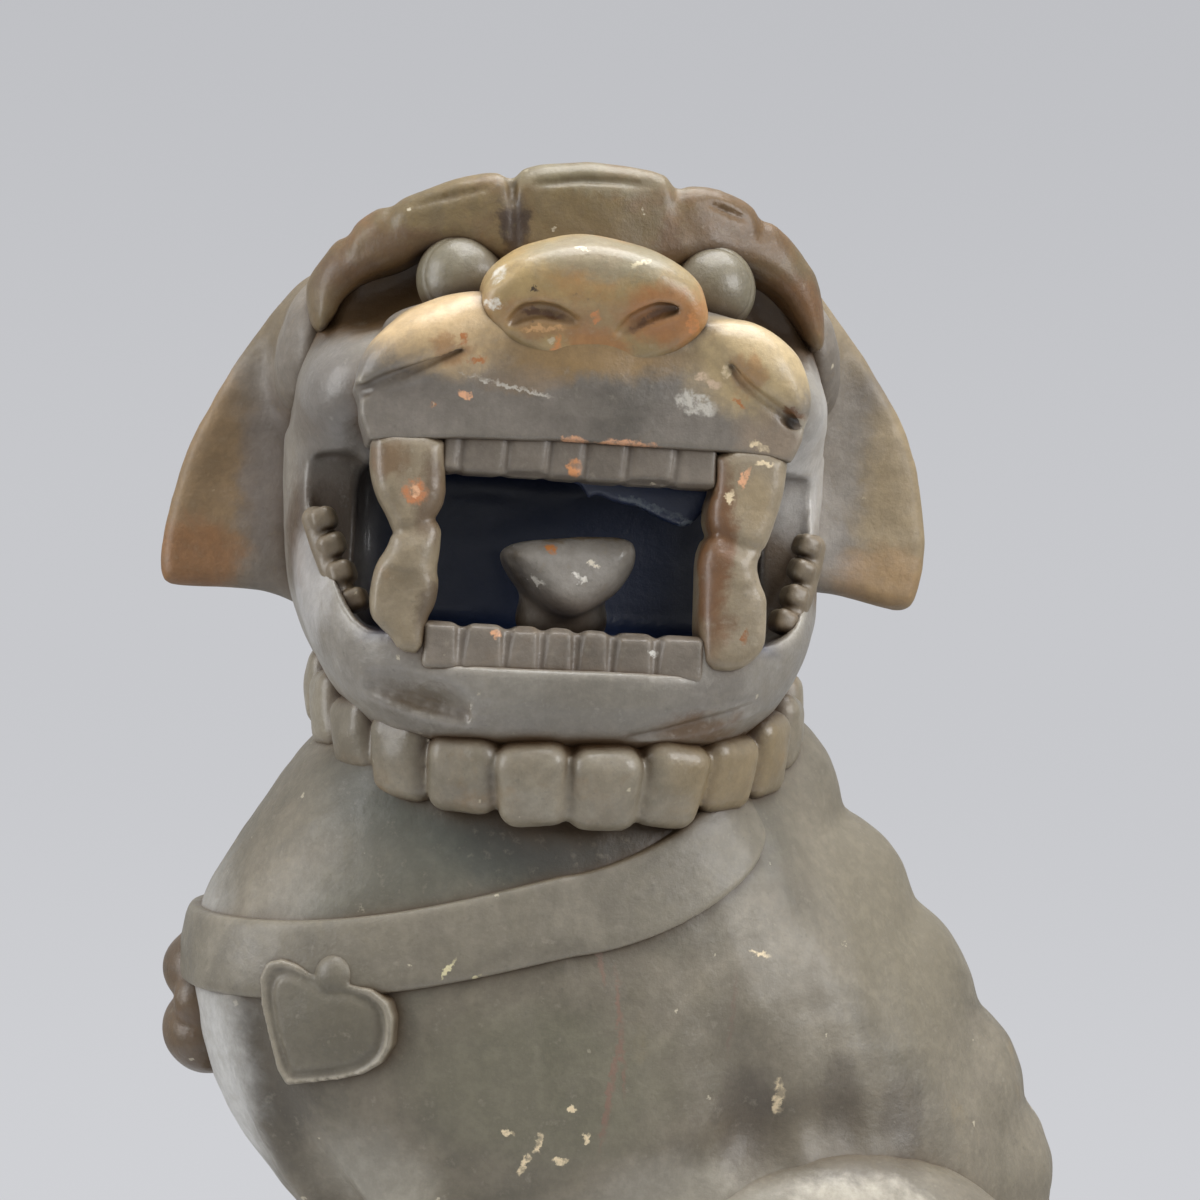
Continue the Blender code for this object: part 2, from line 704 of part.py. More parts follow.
def make_nose_and_pads(jade, head):
    nose = ball("nose", (NOSE_HALF_WIDTH, NOSE_DEPTH, NOSE_HALF_HEIGHT), 18, 12)
    put("nose", nose, jade, head, (0, -MUZZLE_FRONT + NOSE_DEPTH * 0.45, NOSE_HEIGHT))
    for side, sign in (("left", 1), ("right", -1)):
        name = f"lip_pad_{side}"
        mesh = ball(name, (PAD_LENGTH, PAD_RADIUS, PAD_RADIUS), 14, 10)
        place = (sign * PAD_X, -MUZZLE_FRONT + PAD_RADIUS * 0.72, PAD_HEIGHT)
        put(name, mesh, jade, head, place, (0, sign * PAD_TILT, 0))


def make_eyes(jade, head):
    for side, sign in (("left", 1), ("right", -1)):
        name = f"eye_{side}"
        put(name, ball(name, (EYE_RADIUS,) * 3, 16, 10), jade, head, (sign * EYE_X, EYE_Y, EYE_HEIGHT))


def make_brow(jade, head):
    # A rolled fringe over the eyes: one wide lobe in the middle, and smaller ones down each side.
    def section(along, swell):
        angle = along / BROW_ARC_WIDTH
        drop = BROW_ARC_RISE * (1 - math.cos(angle))
        centre = Vector((BROW_ARC_WIDTH * math.sin(angle), BROW_Y + drop * 0.5, BROW_TOP - drop * 1.1))
        radius = BROW_RADIUS * swell
        outward = Vector((math.sin(angle * 0.75), 0, math.cos(angle * 0.75)))
        return ring(centre, Vector((0, 1, 0)), outward, radius, radius, 10)

    edges = [BROW_LOBES[0]]
    for half in BROW_LOBES[1:]:
        edges.append(edges[-1] + 2 * half)
    lobes = [(-b, -a) for a, b in zip(edges, edges[1:])][::-1] + [(-edges[0], edges[0])]
    lobes += list(zip(edges, edges[1:]))
    put("brow_fringe", lobed("brow_fringe", lobes, section), jade, head)


def make_fangs(jade, head):
    # Upper and lower fang meet tip to tip, so each side is one pillar with a waist.
    y = -MUZZLE_FRONT + TEETH_SETBACK + FANG_DEPTH / 2
    low, high = LIP_HEIGHT - SINK / 3, MOUTH_TOP + SINK / 3
    rows = ((0.0, 0.72), (0.16, 0.96), (0.34, 0.98), (0.50, 0.0), (0.72, 0.85), (0.88, 1.0), (1.0, 1.0))
    for side, sign in (("left", 1), ("right", -1)):
        name = f"fang_pillar_{side}"
        rings = []
        for share, swell in rows:
            half = (FANG_WAIST + (FANG_WIDTH - FANG_WAIST) * swell) / 2
            centre = Vector((sign * (FANG_X - (1 - swell) * 0.0008), y, low + (high - low) * share))
            rings.append(ring(centre, Vector((1, 0, 0)), Vector((0, 1, 0)), half, FANG_DEPTH / 2, 12, 2.6))
        put(name, loft(name, rings), jade, head)


def tooth_row(name, count, height):
    # Square teeth side by side between the fangs, narrowing where they touch.
    half_row = FANG_X - FANG_WIDTH / 2
    pitch = 2 * half_row / count
    y = -MUZZLE_FRONT + TEETH_SETBACK + TOOTH_DEPTH / 2

    def section(along, swell):
        centre = Vector((along, y, height))
        half_depth = TOOTH_DEPTH / 2 * swell
        half_height = (TOOTH_HEIGHT + SINK / 2) / 2 * (0.5 + 0.5 * swell)
        return ring(centre, Vector((0, 1, 0)), Vector((0, 0, 1)), half_depth, half_height, 8, 4.0)

    lobes = [(-half_row + pitch * i, -half_row + pitch * (i + 1)) for i in range(count)]
    return lobed(name, lobes, section)


def molar_row(name, sign):
    # Molars stand along the jaw's rising side wall.
    start = Vector((0, -MUZZLE_FRONT * 0.84, LIP_HEIGHT))
    end = Vector((0, CORNER_Y, CORNER_HEIGHT))
    slope = (end - start).normalized()
    x = sign * (MOUTH_HALF_WIDTH + MOLAR_SIZE * 0.3)

    def section(along, swell):
        across = Vector((1, 0, 0))
        half = MOLAR_SIZE / 2 * swell
        centre = start + slope * along + across * x
        return ring(centre, across, slope.cross(across), half, half * 1.5, 8, 4.0)

    first = FANG_DEPTH * 0.8
    lobes = [(first + MOLAR_SIZE * i, first + MOLAR_SIZE * (i + 1)) for i in range(MOLAR_COUNT)]
    return lobed(name, lobes, section)


def make_teeth(jade, head):
    upper = MOUTH_TOP - TOOTH_HEIGHT / 2 + SINK / 6
    lower = LIP_HEIGHT + TOOTH_HEIGHT / 2 - SINK / 6
    put("upper_teeth", tooth_row("upper_teeth", UPPER_TEETH, upper), jade, head)
    put("lower_teeth", tooth_row("lower_teeth", LOWER_TEETH, lower), jade, head)
    for side, sign in (("left", 1), ("right", -1)):
        put(f"molars_{side}", molar_row(f"molars_{side}", sign), jade, head)


def make_tongue(jade, head):
    # Half round below and nearly flat on top, with a blunt tip towards the teeth.
    rings = []
    back = MOUTH_BACK + SINK / 2
    rows = ((0.0, 1.0), (0.45, 1.0), (0.78, 0.96), (0.94, 0.80), (1.0, 0.55))
    bottom = MOUTH_FLOOR - SINK / 3
    for along, size in rows:
        y = back - TONGUE_LENGTH * along
        half_width = TONGUE_WIDTH / 2 * size
        height = TONGUE_HEIGHT * (0.6 + 0.4 * size)
        points = []
        for i in range(9):
            angle = math.pi * i / 8
            x = -half_width * math.cos(angle)
            points.append(Vector((x, y, bottom + height * 0.62 * (1 - math.sin(angle)))))
        points += [
            Vector((half_width * 0.92, y, bottom + height * 0.92)),
            Vector((0, y, bottom + height)),
            Vector((-half_width * 0.92, y, bottom + height * 0.92)),
        ]
        rings.append(points)
    put("tongue", loft("tongue", rings), jade, head)


def make_collar(jade, head):
    # Barrel beads round the neck, the ring hanging lower under the chin than at the nape.
    tilt = Matrix.Rotation(COLLAR_TILT, 4, "X")

    def section(angle, swell):
        out = tilt @ Vector((math.sin(angle), -math.cos(angle), 0))
        up = tilt @ Vector((0, 0, 1))
        return ring(out * COLLAR_RADIUS, out, up, BEAD_DEPTH / 2 * swell, BEAD_HEIGHT / 2 * swell, 8, 2.6)

    step = 2 * math.pi / BEAD_COUNT
    lobes = [(step * (i - 0.5), step * (i + 0.5)) for i in range(BEAD_COUNT)]
    mesh = lobed("collar_beads", lobes, section, closed=True)
    put("collar_beads", mesh, jade, head, (0, COLLAR_Y, -COLLAR_DROP))


def strap_height(azimuth):
    # Centre line: level across the chest, climbing as ((1 + cos azimuth) / 2)^2.1 towards the nape.
    rise = ((1 + math.cos(azimuth)) / 2) ** 2.1
    return BODY_HEIGHT - STRAP_DROP + STRAP_CLIMB * rise


def make_strap(jade, figure):
    # A band on the torso's skin: inner corners sunk below it, outer ones proud of it. Its two ends
    # run in under the collar at the nape.
    thick = STRAP_THICKNESS + GAP
    corners = ((-0.5, -0.5), (0.5, -0.5), (0.5, 0.6), (0.32, 1.0), (-0.32, 1.0), (-0.5, 0.6))
    rings = []
    for i in range(STRAP_STEPS + 1):
        azimuth = STRAP_END + 2 * (math.pi - STRAP_END) * i / STRAP_STEPS
        height = strap_height(azimuth)
        across = [(height + rise * STRAP_WIDTH, out * thick) for rise, out in corners]
        rings.append([torso_point(level, azimuth, proud) for level, proud in across])
    put("harness_strap", loft("harness_strap", rings), jade, figure)


def make_bell(jade, figure):
    # Knot, dome and mouth of a harness bell, stacked down the middle of the chest.
    azimuth = math.pi
    below = BODY_HEIGHT - STRAP_DROP - STRAP_WIDTH * 0.2
    rings = []
    rows = ((0.40, 0.10), (0.30, 0.42), (0.0, 0.50), (-0.25, 0.44), (-0.40, 0.62), (-0.85, 0.86))
    rows += ((-1.15, 0.88), (-1.45, 0.80), (-1.60, 0.92), (-2.0, 1.0), (-2.5, 0.86), (-2.75, 0.40))
    for rise, size in rows:
        height = below + rise * BELL_RADIUS
        centre = torso_point(height, azimuth, BELL_RADIUS * 0.12)
        radius = BELL_RADIUS * size
        rings.append(ring(centre, Vector((0, 1, 0)), Vector((-1, 0, 0)), radius, radius * 0.9, 14))
    put("chest_bell", loft("chest_bell", rings), jade, figure)


def heart_outline(points=22, knob_points=7):
    # x = sin(t)^3 and z = 0.81 cos t - 0.31 cos 2t - 0.13 cos 3t - 0.06 cos 4t: cleft up, tip down.
    # The knob that it hangs by fills the cleft, as a half circle between the lobes.
    half = HEART_WIDTH / 2
    outline = []
    for i in range(points):
        t = HEART_CLEFT + 2 * (math.pi - HEART_CLEFT) * i / (points - 1)
        z = 0.81 * math.cos(t) - 0.31 * math.cos(2 * t) - 0.13 * math.cos(3 * t) - 0.06 * math.cos(4 * t)
        outline.append((half * math.sin(t) ** 3, half * z))
    for i in range(knob_points):
        angle = math.pi * (1 - (i + 1) / (knob_points + 1))
        outline.append((HEART_KNOB * math.cos(angle), outline[0][1] + HEART_KNOB * math.sin(angle)))
    return outline


def make_hearts(jade, figure):
    # A heart-shaped plaque on each flank.
    for side, sign in (("left", 1), ("right", -1)):
        azimuth = HEART_AZIMUTH if sign > 0 else -HEART_AZIMUTH
        height = BODY_HEIGHT - STRAP_DROP - HEART_DROP
        frame = torso_frame(height, azimuth) @ Matrix.Rotation(sign * HEART_TILT, 4, "Y")
        mesh = plate(f"heart_plaque_{side}", heart_outline(), 2 * HEART_THICKNESS, HEART_BEVEL)
        put(f"heart_plaque_{side}", mesh, jade, figure, frame.to_translation(), frame.to_euler())


def make_mane(jade, head):
    # Domed curls in rows round the back of the skull, on a layer that joins them.
    bm = bmesh.new()
    for share, count in CURL_ROWS:
        height = share * SKULL_HEIGHT
        half_width, front, back = skull_row(height)
        half_depth = (back - front) / 2
        for i in range(count):
            angle = (i - (count - 1) / 2) * CURL_STEP
            out = Vector((math.sin(angle), math.cos(angle), 0))
            place = Vector((out.x * half_width, (front + back) / 2 + out.y * half_depth, height))
            lift = Vector((out.x, out.y, max(share - 0.44, 0) * 1.4)).normalized()
            turn = lift.to_track_quat("Y", "Z").to_matrix().to_4x4()
            add_ball(bm, place, (CURL_RADIUS, CURL_DEPTH, CURL_RADIUS), turn, 9, 6)
    curls = hidden("mane_bumps", mesh_from("mane_bumps", bm), head)
    rings = []
    low, high, steps = CURL_ROWS[-1][0] * SKULL_HEIGHT - CURL_RADIUS * 0.4, CURL_ROWS[0][0] * SKULL_HEIGHT, 5
    for i in range(steps + 1):
        height = low + (high - low) * i / steps
        half_width, front, back = skull_row(height)
        row = (height, half_width + MANE_LAYER, front - MANE_LAYER, back + MANE_LAYER)
        middle = (front + back) / 2
        rings.append([Vector((x, max(y, middle), z)) for x, y, z in skull_section(row, 28)])
    mane = put("mane_curls", loft("mane_curls", rings), jade, head)
    join = mane.modifiers.new("curls", "BOOLEAN")
    join.operation = "UNION"
    join.object = curls
    join.use_self = True


def main():
    clear_scene()
    jade = stone("jade", (0.235, 0.225, 0.170), 0.28)
    pale_jade = stone("pale_jade", (0.300, 0.290, 0.235), 0.22)
    stained_jade = stone("stained_jade", (0.260, 0.190, 0.105), 0.34)
    figure = bpy.data.objects.new("figure", None)
    head = bpy.data.objects.new("head", None)
    for empty in (figure, head):
        bpy.context.scene.collection.objects.link(empty)
    figure.location = (0, 0, PLINTH_HEIGHT)
    head.parent = figure
    head.location = (HEAD_X, 0, BODY_HEIGHT + HEAD_RISE)

    make_plinth(jade)
    make_torso(jade, figure)
    make_haunches(jade, figure)
    skull = make_skull(jade, head)
    make_muzzle(jade, head)
    lower_jaw = make_lower_jaw(pale_jade, head)
    make_legs(jade, figure)
    make_tail(stained_jade, figure)
    make_ears(stained_jade, head)
    make_nose_and_pads(stained_jade, head)
    make_eyes(pale_jade, head)
    make_brow(stained_jade, head)
    make_fangs(stained_jade, head)
    make_teeth(pale_jade, head)
    make_tongue(pale_jade, head)
    make_collar(stained_jade, head)
    make_spine(jade, figure)
    make_strap(jade, figure)
    make_bell(stained_jade, figure)
    make_hearts(jade, figure)
    make_mane(jade, head)
    open_mouth(head, skull, lower_jaw)
    cut_back_forms()


main()
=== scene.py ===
# Carved jade guardian lion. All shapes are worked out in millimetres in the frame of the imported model:
# X runs from chest to rump, the face looks along -Y, Z is up from the underside of the plinth.
import math

import bpy
import numpy as np
from mathutils import Euler, Matrix, Vector


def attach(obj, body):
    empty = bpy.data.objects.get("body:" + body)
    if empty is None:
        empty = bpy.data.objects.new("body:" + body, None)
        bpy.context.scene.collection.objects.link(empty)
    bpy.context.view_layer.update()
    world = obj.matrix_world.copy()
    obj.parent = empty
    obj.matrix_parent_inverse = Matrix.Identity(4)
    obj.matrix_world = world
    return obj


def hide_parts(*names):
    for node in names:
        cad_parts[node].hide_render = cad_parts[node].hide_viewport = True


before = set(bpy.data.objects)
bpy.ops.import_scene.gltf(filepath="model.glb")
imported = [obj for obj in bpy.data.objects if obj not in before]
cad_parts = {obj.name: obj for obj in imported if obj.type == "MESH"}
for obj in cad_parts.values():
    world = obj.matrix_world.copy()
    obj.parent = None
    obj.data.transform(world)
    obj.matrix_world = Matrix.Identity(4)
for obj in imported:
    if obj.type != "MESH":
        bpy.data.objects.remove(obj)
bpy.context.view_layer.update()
headX = -11.0  # the plane that the head is symmetric about
print("stage: packed model loaded,", len(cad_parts), "nodes")


# Carving. Stone of this kind has no flat or turned forms that meshes of boxes and tubes could give:
# it is ground from a block, and its forms run into each other. So each piece is a grid of distances here,
# forms are joined to it or cut from it with a chosen softness, and its surface is read off at the end.


def startBlock(low, high, step):
    # A block to carve: a grid of points that each hold their distance to the surface, less than 0 inside.
    step = step * 1.0
    axes = [np.arange(low[i], high[i] + step, step, dtype=np.float32) for i in range(3)]
    return {"axes": axes, "step": step, "d": np.full([len(a) for a in axes], 1e3, np.float32)}


def blend(a, b, soft):
    # The smaller of two distances, with the corner between them rounded: min(a, b) - soft / 4 * h^2,
    # where h falls from 1 to 0 as the two come to differ by soft.
    if soft <= 0:
        return np.minimum(a, b)
    h = np.maximum(soft - np.abs(a - b), 0) / soft
    return np.minimum(a, b) - h * h * soft / 4


def carve(block, form, soft, cut=False):
    # Joins a form to the block, or cuts it away, inside the form's own box.
    field, low, high = form
    margin = soft + 2.5 * block["step"]
    part = tuple(
        slice(int(np.searchsorted(a, l - margin)), int(np.searchsorted(a, h + margin)))
        for a, l, h in zip(block["axes"], low, high)
    )
    x, y, z = (a[s] for a, s in zip(block["axes"], part))
    if not (len(x) and len(y) and len(z)):
        return
    new = field(x[:, None, None], y[None, :, None], z[None, None, :])
    old = block["d"][part]
    block["d"][part] = -blend(-old, new, soft) if cut else blend(old, new, soft)


def turning(turn):
    # Matrix of three angles in degrees.
    return np.array(Euler([math.radians(a) for a in turn]).to_matrix())


def within(x, y, z, centre, turn):
    # Coordinates seen from a centre that is turned by three angles in degrees.
    x, y, z = x - centre[0], y - centre[1], z - centre[2]
    if not any(turn):
        return x, y, z
    m = turning(turn)
    return tuple(m[0][i] * x + m[1][i] * y + m[2][i] * z for i in range(3))


def boxOf(centre, turn, half):
    # The upright box round a turned one.
    reach = np.abs(turning(turn)) @ np.array(half)
    return np.array(centre) - reach, np.array(centre) + reach


def egg(centre, radii, turn=(0, 0, 0)):
    # Ellipsoid: k (k - 1) / g, where k is the point's length in radii and g the length of k's slope.
    def field(x, y, z):
        q = within(x, y, z, centre, turn)
        k = np.sqrt(sum((a / r) ** 2 for a, r in zip(q, radii)))
        g = np.sqrt(sum((a / r**2) ** 2 for a, r in zip(q, radii))) + 1e-6
        return k * (k - 1) / g

    return (field, *boxOf(centre, turn, radii))


def brick(centre, half, edge, turn=(0, 0, 0)):
    # Box with rounded edges: its distance is that to a box smaller by the rounding, less the rounding.
    def field(x, y, z):
        q = [np.abs(a) - h + edge for a, h in zip(within(x, y, z, centre, turn), half)]
        outside = np.sqrt(sum(np.maximum(a, 0) ** 2 for a in q))
        return outside + np.minimum(np.maximum(np.maximum(q[0], q[1]), q[2]), 0) - edge

    return (field, *boxOf(centre, turn, half))


def rope(points, radii):
    # Tube along a line of points: the distance to the nearest segment, less a radius that runs evenly
    # from one point to the next.
    points = np.array(points, float)
    radii = np.atleast_1d(np.array(radii, float))
    radii = np.interp(np.linspace(0, 1, len(points)), np.linspace(0, 1, len(radii)), radii)

    def field(x, y, z):
        best = None
        for a, b, ra, rb in zip(points[:-1], points[1:], radii[:-1], radii[1:]):
            along = b - a
            p = (x - a[0], y - a[1], z - a[2])
            h = np.clip(sum(q * s for q, s in zip(p, along)) / (along @ along), 0, 1)
            d = np.sqrt(sum((q - h * s) ** 2 for q, s in zip(p, along))) - (ra + h * (rb - ra))
            best = d if best is None else np.minimum(best, d)
        return best

    return field, (points - radii[:, None]).min(0), (points + radii[:, None]).max(0)


def joined(forms, soft):
    # Several forms as one, so that the seams between them can be sharper than the seam to the block.
    def field(x, y, z):
        total = None
        for part, low, high in forms:
            d = part(x, y, z)
            total = d if total is None else blend(total, d, soft)
        return total

    return field, np.min([low for part, low, high in forms], 0), np.max(
        [high for part, low, high in forms], 0,
    )


def rounded(points, times=2, closed=True):
    # Corner cutting: each side is replaced by its own middle half, and its corners become short sides.
    points = np.array(points, float)
    for _ in range(times):
        after = np.roll(points, -1, axis=0)
        near, far = points * 0.75 + after * 0.25, points * 0.25 + after * 0.75
        mixed = np.stack([near, far], 1).reshape(-1, points.shape[1])
        points = mixed if closed else np.vstack([points[:1], mixed[:-2], points[-1:]])
    return points


def outlineDistance(points, u, v):
    # Signed distance to a closed outline: that to the nearest side, negative where a ray from the point
    # crosses the outline an odd number of times.
    best = inside = None
    for (ax, ay), (bx, by) in zip(points, np.roll(points, -1, axis=0)):
        ex, ey = bx - ax, by - ay
        pu, pv = u - ax, v - ay
        h = np.clip((pu * ex + pv * ey) / (ex * ex + ey * ey + 1e-12), 0, 1)
        d = (pu - ex * h) ** 2 + (pv - ey * h) ** 2
        crosses = ((ay <= v) != (by <= v)) & (pu < ex * pv / (ey if abs(ey) > 1e-9 else 1e-9))
        best = d if best is None else np.minimum(best, d)
        inside = crosses if inside is None else inside ^ crosses
    return np.sqrt(best) * np.where(inside, -1.0, 1.0)


def slab(outline, near, far, edge, centre=(0, 0, 0), turn=(0, 0, 0), bend=0.0):
    # An outline in X and Z carried along Y from near to far, with rounded edges. With a bend it is set
    # back by bend * (x - headX)^2.
    outline = np.array(outline, float)

    def field(x, y, z):
        u, t, v = within(x, y, z, centre, turn)
        if bend:
            t = t - bend * (u - headX) ** 2
        a = outlineDistance(outline, u, v) + edge
        b = np.abs(t - (near + far) / 2) - (far - near) / 2 + edge
        return np.minimum(np.maximum(a, b), 0) + np.sqrt(np.maximum(a, 0) ** 2 + np.maximum(b, 0) ** 2) - edge

    low, high = outline.min(0), outline.max(0)
    back = bend * max((low[0] - headX) ** 2, (high[0] - headX) ** 2)
    middle = np.array([(low[0] + high[0]) / 2, (near + far + back) / 2, (low[1] + high[1]) / 2])
    half = np.array([(high[0] - low[0]) / 2, (far + back - near) / 2, (high[1] - low[1]) / 2])
    return (field, *boxOf(np.array(centre) + turning(turn) @ middle, turn, half))


def readRows(rows, at):
    # A table read smoothly: a cubic through the two rows around a height, with slopes from their neighbours.
    rows = np.array(rows, float)
    at = np.clip(at, rows[0, 0], rows[-1, 0])
    i = np.clip(np.searchsorted(rows[:, 0], at, side="right") - 1, 0, len(rows) - 2)
    t = (at - rows[i, 0]) / (rows[i + 1, 0] - rows[i, 0])
    read = []
    for c in range(1, rows.shape[1]):
        before, a = rows[np.maximum(i - 1, 0), c], rows[i, c]
        b, after = rows[i + 1, c], rows[np.minimum(i + 2, len(rows) - 1), c]
        read.append(
            a * (2 * t**3 - 3 * t**2 + 1)
            + b * (3 * t**2 - 2 * t**3)
            + (b - before) / 2 * (t**3 - 2 * t**2 + t)
            + (after - a) / 2 * (t**3 - t**2)
        )
    return read


def tower(rows, squareness, middle, along="y"):
    # Superellipse sections stacked up Z. Rows are height, half width across, then front and back along
    # the other axis. The distance is how far the point lies past its section, along the ray from its middle.
    table = np.array(rows, float)
    bottom, top = table[0, 0], table[-1, 0]

    def field(x, y, z):
        half, front, back = (a.astype(np.float32)[None, None, :] for a in readRows(rows, z.ravel()))
        across, length = (x, y) if along == "y" else (y, x)
        u, v = across - middle, length - (front + back) / 2
        powers = np.abs(u / half) ** squareness + np.abs(v * 2 / (back - front)) ** squareness
        share = powers ** (1 / squareness) + 1e-6
        side = np.sqrt(u * u + v * v) * (1 - 1 / share)
        return np.maximum(side, np.maximum(bottom - z, z - top))

    wide, front, back = table[:, 1].max(), table[:, 2].min(), table[:, 3].max()
    if along == "y":
        return field, (middle - wide, front, bottom), (middle + wide, back, top)
    return field, (front, middle - wide, bottom), (back, middle + wide, top)


def skin(block, relaxing=2):
    # Surface of a block: a vertex in each cell that the surface crosses, at the mean of the crossings on
    # the cell's edges, and a face around each grid edge that it crosses.
    d, step = block["d"], block["step"]
    for axis in range(3):
        for end in (0, -1):
            rim = [slice(None)] * 3
            rim[axis] = end
            d[tuple(rim)] = np.maximum(d[tuple(rim)], step * 0.5)
    inside = d < 0
    n = d.shape
    corners = [(i, j, k) for i in (0, 1) for j in (0, 1) for k in (0, 1)]
    count = np.zeros([m - 1 for m in n], np.uint8)
    for i, j, k in corners:
        count += inside[i : n[0] - 1 + i, j : n[1] - 1 + j, k : n[2] - 1 + k]
    active = (count > 0) & (count < 8)
    cell = np.array(np.nonzero(active))
    number = np.full(active.shape, -1, np.int32)
    number[active] = np.arange(cell.shape[1])
    total = np.zeros((3, cell.shape[1]))
    hits = np.zeros(cell.shape[1])
    for a in corners:
        for axis in range(3):
            if a[axis]:
                continue
            b = tuple(1 if c == axis else a[c] for c in range(3))
            va = d[cell[0] + a[0], cell[1] + a[1], cell[2] + a[2]]
            vb = d[cell[0] + b[0], cell[1] + b[1], cell[2] + b[2]]
            crossed = (va < 0) != (vb < 0)
            t = np.where(crossed, va / np.where(crossed, va - vb, 1), 0)
            for c in range(3):
                total[c] += crossed * (a[c] + (t if c == axis else 0))
            hits += crossed
    start = np.array([axis[0] for axis in block["axes"]])
    verts = (start[:, None] + step * (cell + total / hits)).T
    faces = []
    for axis in range(3):
        u, v = (axis + 1) % 3, (axis + 2) % 3
        low = [slice(None)] * 3
        high = [slice(None)] * 3
        low[axis], high[axis] = slice(0, -1), slice(1, None)
        for other in (u, v):
            low[other] = high[other] = slice(1, -1)
        outward = inside[tuple(low)] & ~inside[tuple(high)]
        for crossed, turned in ((outward, False), (inside[tuple(high)] & ~inside[tuple(low)], True)):
            at = np.array(np.nonzero(crossed))
            at[u] += 1
            at[v] += 1
            quad = []
            for du, dv in ((1, 1), (0, 1), (0, 0), (1, 0)):
                place = at.copy()
                place[u] -= du
                place[v] -= dv
                quad.append(number[place[0], place[1], place[2]])
            faces.append(np.array(quad[::-1] if turned else quad).T)
    faces = np.vstack(faces)
    return relax(verts, faces, relaxing), faces


def relax(verts, faces, times):
    # Each vertex moves half of the way to the mean of its neighbours.
    a, b = faces.ravel(), np.roll(faces, -1, axis=1).ravel()
    ends, others = np.concatenate([a, b]), np.concatenate([b, a])
    count = np.maximum(np.bincount(ends, minlength=len(verts)), 1)
    for _ in range(times):
        mean = np.stack([np.bincount(ends, verts[others, c], len(verts)) / count for c in range(3)], 1)
        verts = verts + (mean - verts) * 0.5
    return verts


def normalsOf(verts, faces):
    # Face normals from the cross product of the diagonals, summed at each vertex.
    across = np.cross(verts[faces[:, 2]] - verts[faces[:, 0]], verts[faces[:, 3]] - verts[faces[:, 1]])
    total = np.stack(
        [np.bincount(faces.ravel(), np.repeat(across[:, c], 4), len(verts)) for c in range(3)], 1
    )
    return total / (np.linalg.norm(total, axis=1)[:, None] + 1e-12)


def waves(points, length, seed):
    # Soft noise between about -1 and 1: sine waves of nearly one length in several random directions.
    count = 7
    maker = np.random.default_rng(seed)
    total = 0
    for _ in range(count):
        way = maker.normal(size=3)
        way /= np.linalg.norm(way)
        wavelength = length * maker.uniform(0.8, 1.25)
        phase = maker.uniform(0, 6.28)
        total = total + np.sin(points @ way * (2 * math.pi / wavelength) + phase)
    return total / count * 1.6


def handCut(verts, faces, depth, seed):
    # The unevenness that hand grinding leaves: two scales of waves along the normal.
    longWave, shortWave, shortShare = 11, 4.2, 0.4
    move = waves(verts, longWave, seed) * depth + waves(verts, shortWave, seed + 1) * depth * shortShare
    return verts + normalsOf(verts, faces) * move[:, None]


def makePiece(name, verts, faces, material, nodes, slotName):
    # Puts a surface in millimetres into a mesh in metres, which rides on the model and stands for its nodes.
    mesh = bpy.data.meshes.new(name)
    faces = np.asarray(faces, np.int32)
    mesh.vertices.add(len(verts))
    mesh.vertices.foreach_set("co", (np.asarray(verts) * 0.001).astype(np.float32).ravel())
    mesh.loops.add(faces.size)
    mesh.loops.foreach_set("vertex_index", faces.ravel())
    mesh.polygons.add(len(faces))
    mesh.polygons.foreach_set("loop_start", np.arange(0, faces.size, faces.shape[1], dtype=np.int32))
    mesh.update(calc_edges=True)
    mesh.shade_smooth()
    mesh.materials.append(material)
    piece = bpy.data.objects.new(name, mesh)
    bpy.context.scene.collection.objects.link(piece)
    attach(piece, "root")
    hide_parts(*nodes)
    print("stage:", name, len(faces), "faces")
    return piece


def carved(name, block, material, nodes, slotName, depth, seed, relaxing=2):
    # The piece that a carved block ends as.
    verts, faces = skin(block, relaxing)
    return makePiece(name, handCut(verts, faces, depth, seed), faces, material, nodes, slotName)


def gridFaces(rows, columns):
    # Faces of a grid of rows by columns, joined round from the last column to the first.
    r = np.arange(rows - 1)[:, None] * columns
    c = np.arange(columns)[None, :]
    after = (c + 1) % columns
    corners = [r + c, r + after, r + columns + after, r + columns + c]
    return np.stack(corners, -1).reshape(-1, 4)


def linear(code):
    # An sRGB hex colour as the linear values that a shader takes.
    parts = [int(code[i : i + 2], 16) / 255 for i in (1, 3, 5)]
    return tuple(p / 12.92 if p <= 0.04045 else ((p + 0.055) / 1.055) ** 2.4 for p in parts) + (1.0,)


def addNode(tree, kind, inputs=(), **settings):
    # One node with its settings. Its inputs come in their own order, or by name or number in a dictionary.
    # Each takes a value or the socket that feeds it.
    node = tree.nodes.new("ShaderNode" + kind)
    for key, value in settings.items():
        setattr(node, key, value)
    for key, value in inputs.items() if isinstance(inputs, dict) else enumerate(inputs):
        if isinstance(value, bpy.types.NodeSocket):
            tree.links.new(value, node.inputs[key])
        else:
            node.inputs[key].default_value = value
    return node.outputs


def overlay(tree, base, colour, source, span, strength=(0.0, 1.0), times=None, kind="MIX"):
    # Lays a colour over a base. Its strength goes smoothly from one value to the other as the source
    # crosses its span.
    amount = addNode(tree, "MapRange", (source, *span, *strength), interpolation_type="SMOOTHSTEP")[0]
    if times is not None:
        amount = addNode(tree, "Math", (amount, times), operation="MULTIPLY")[0]
    colour = linear(colour) if isinstance(colour, str) else colour
    return addNode(tree, "Mix", {0: amount, 6: base, 7: colour}, data_type="RGBA", blend_type=kind)[2]


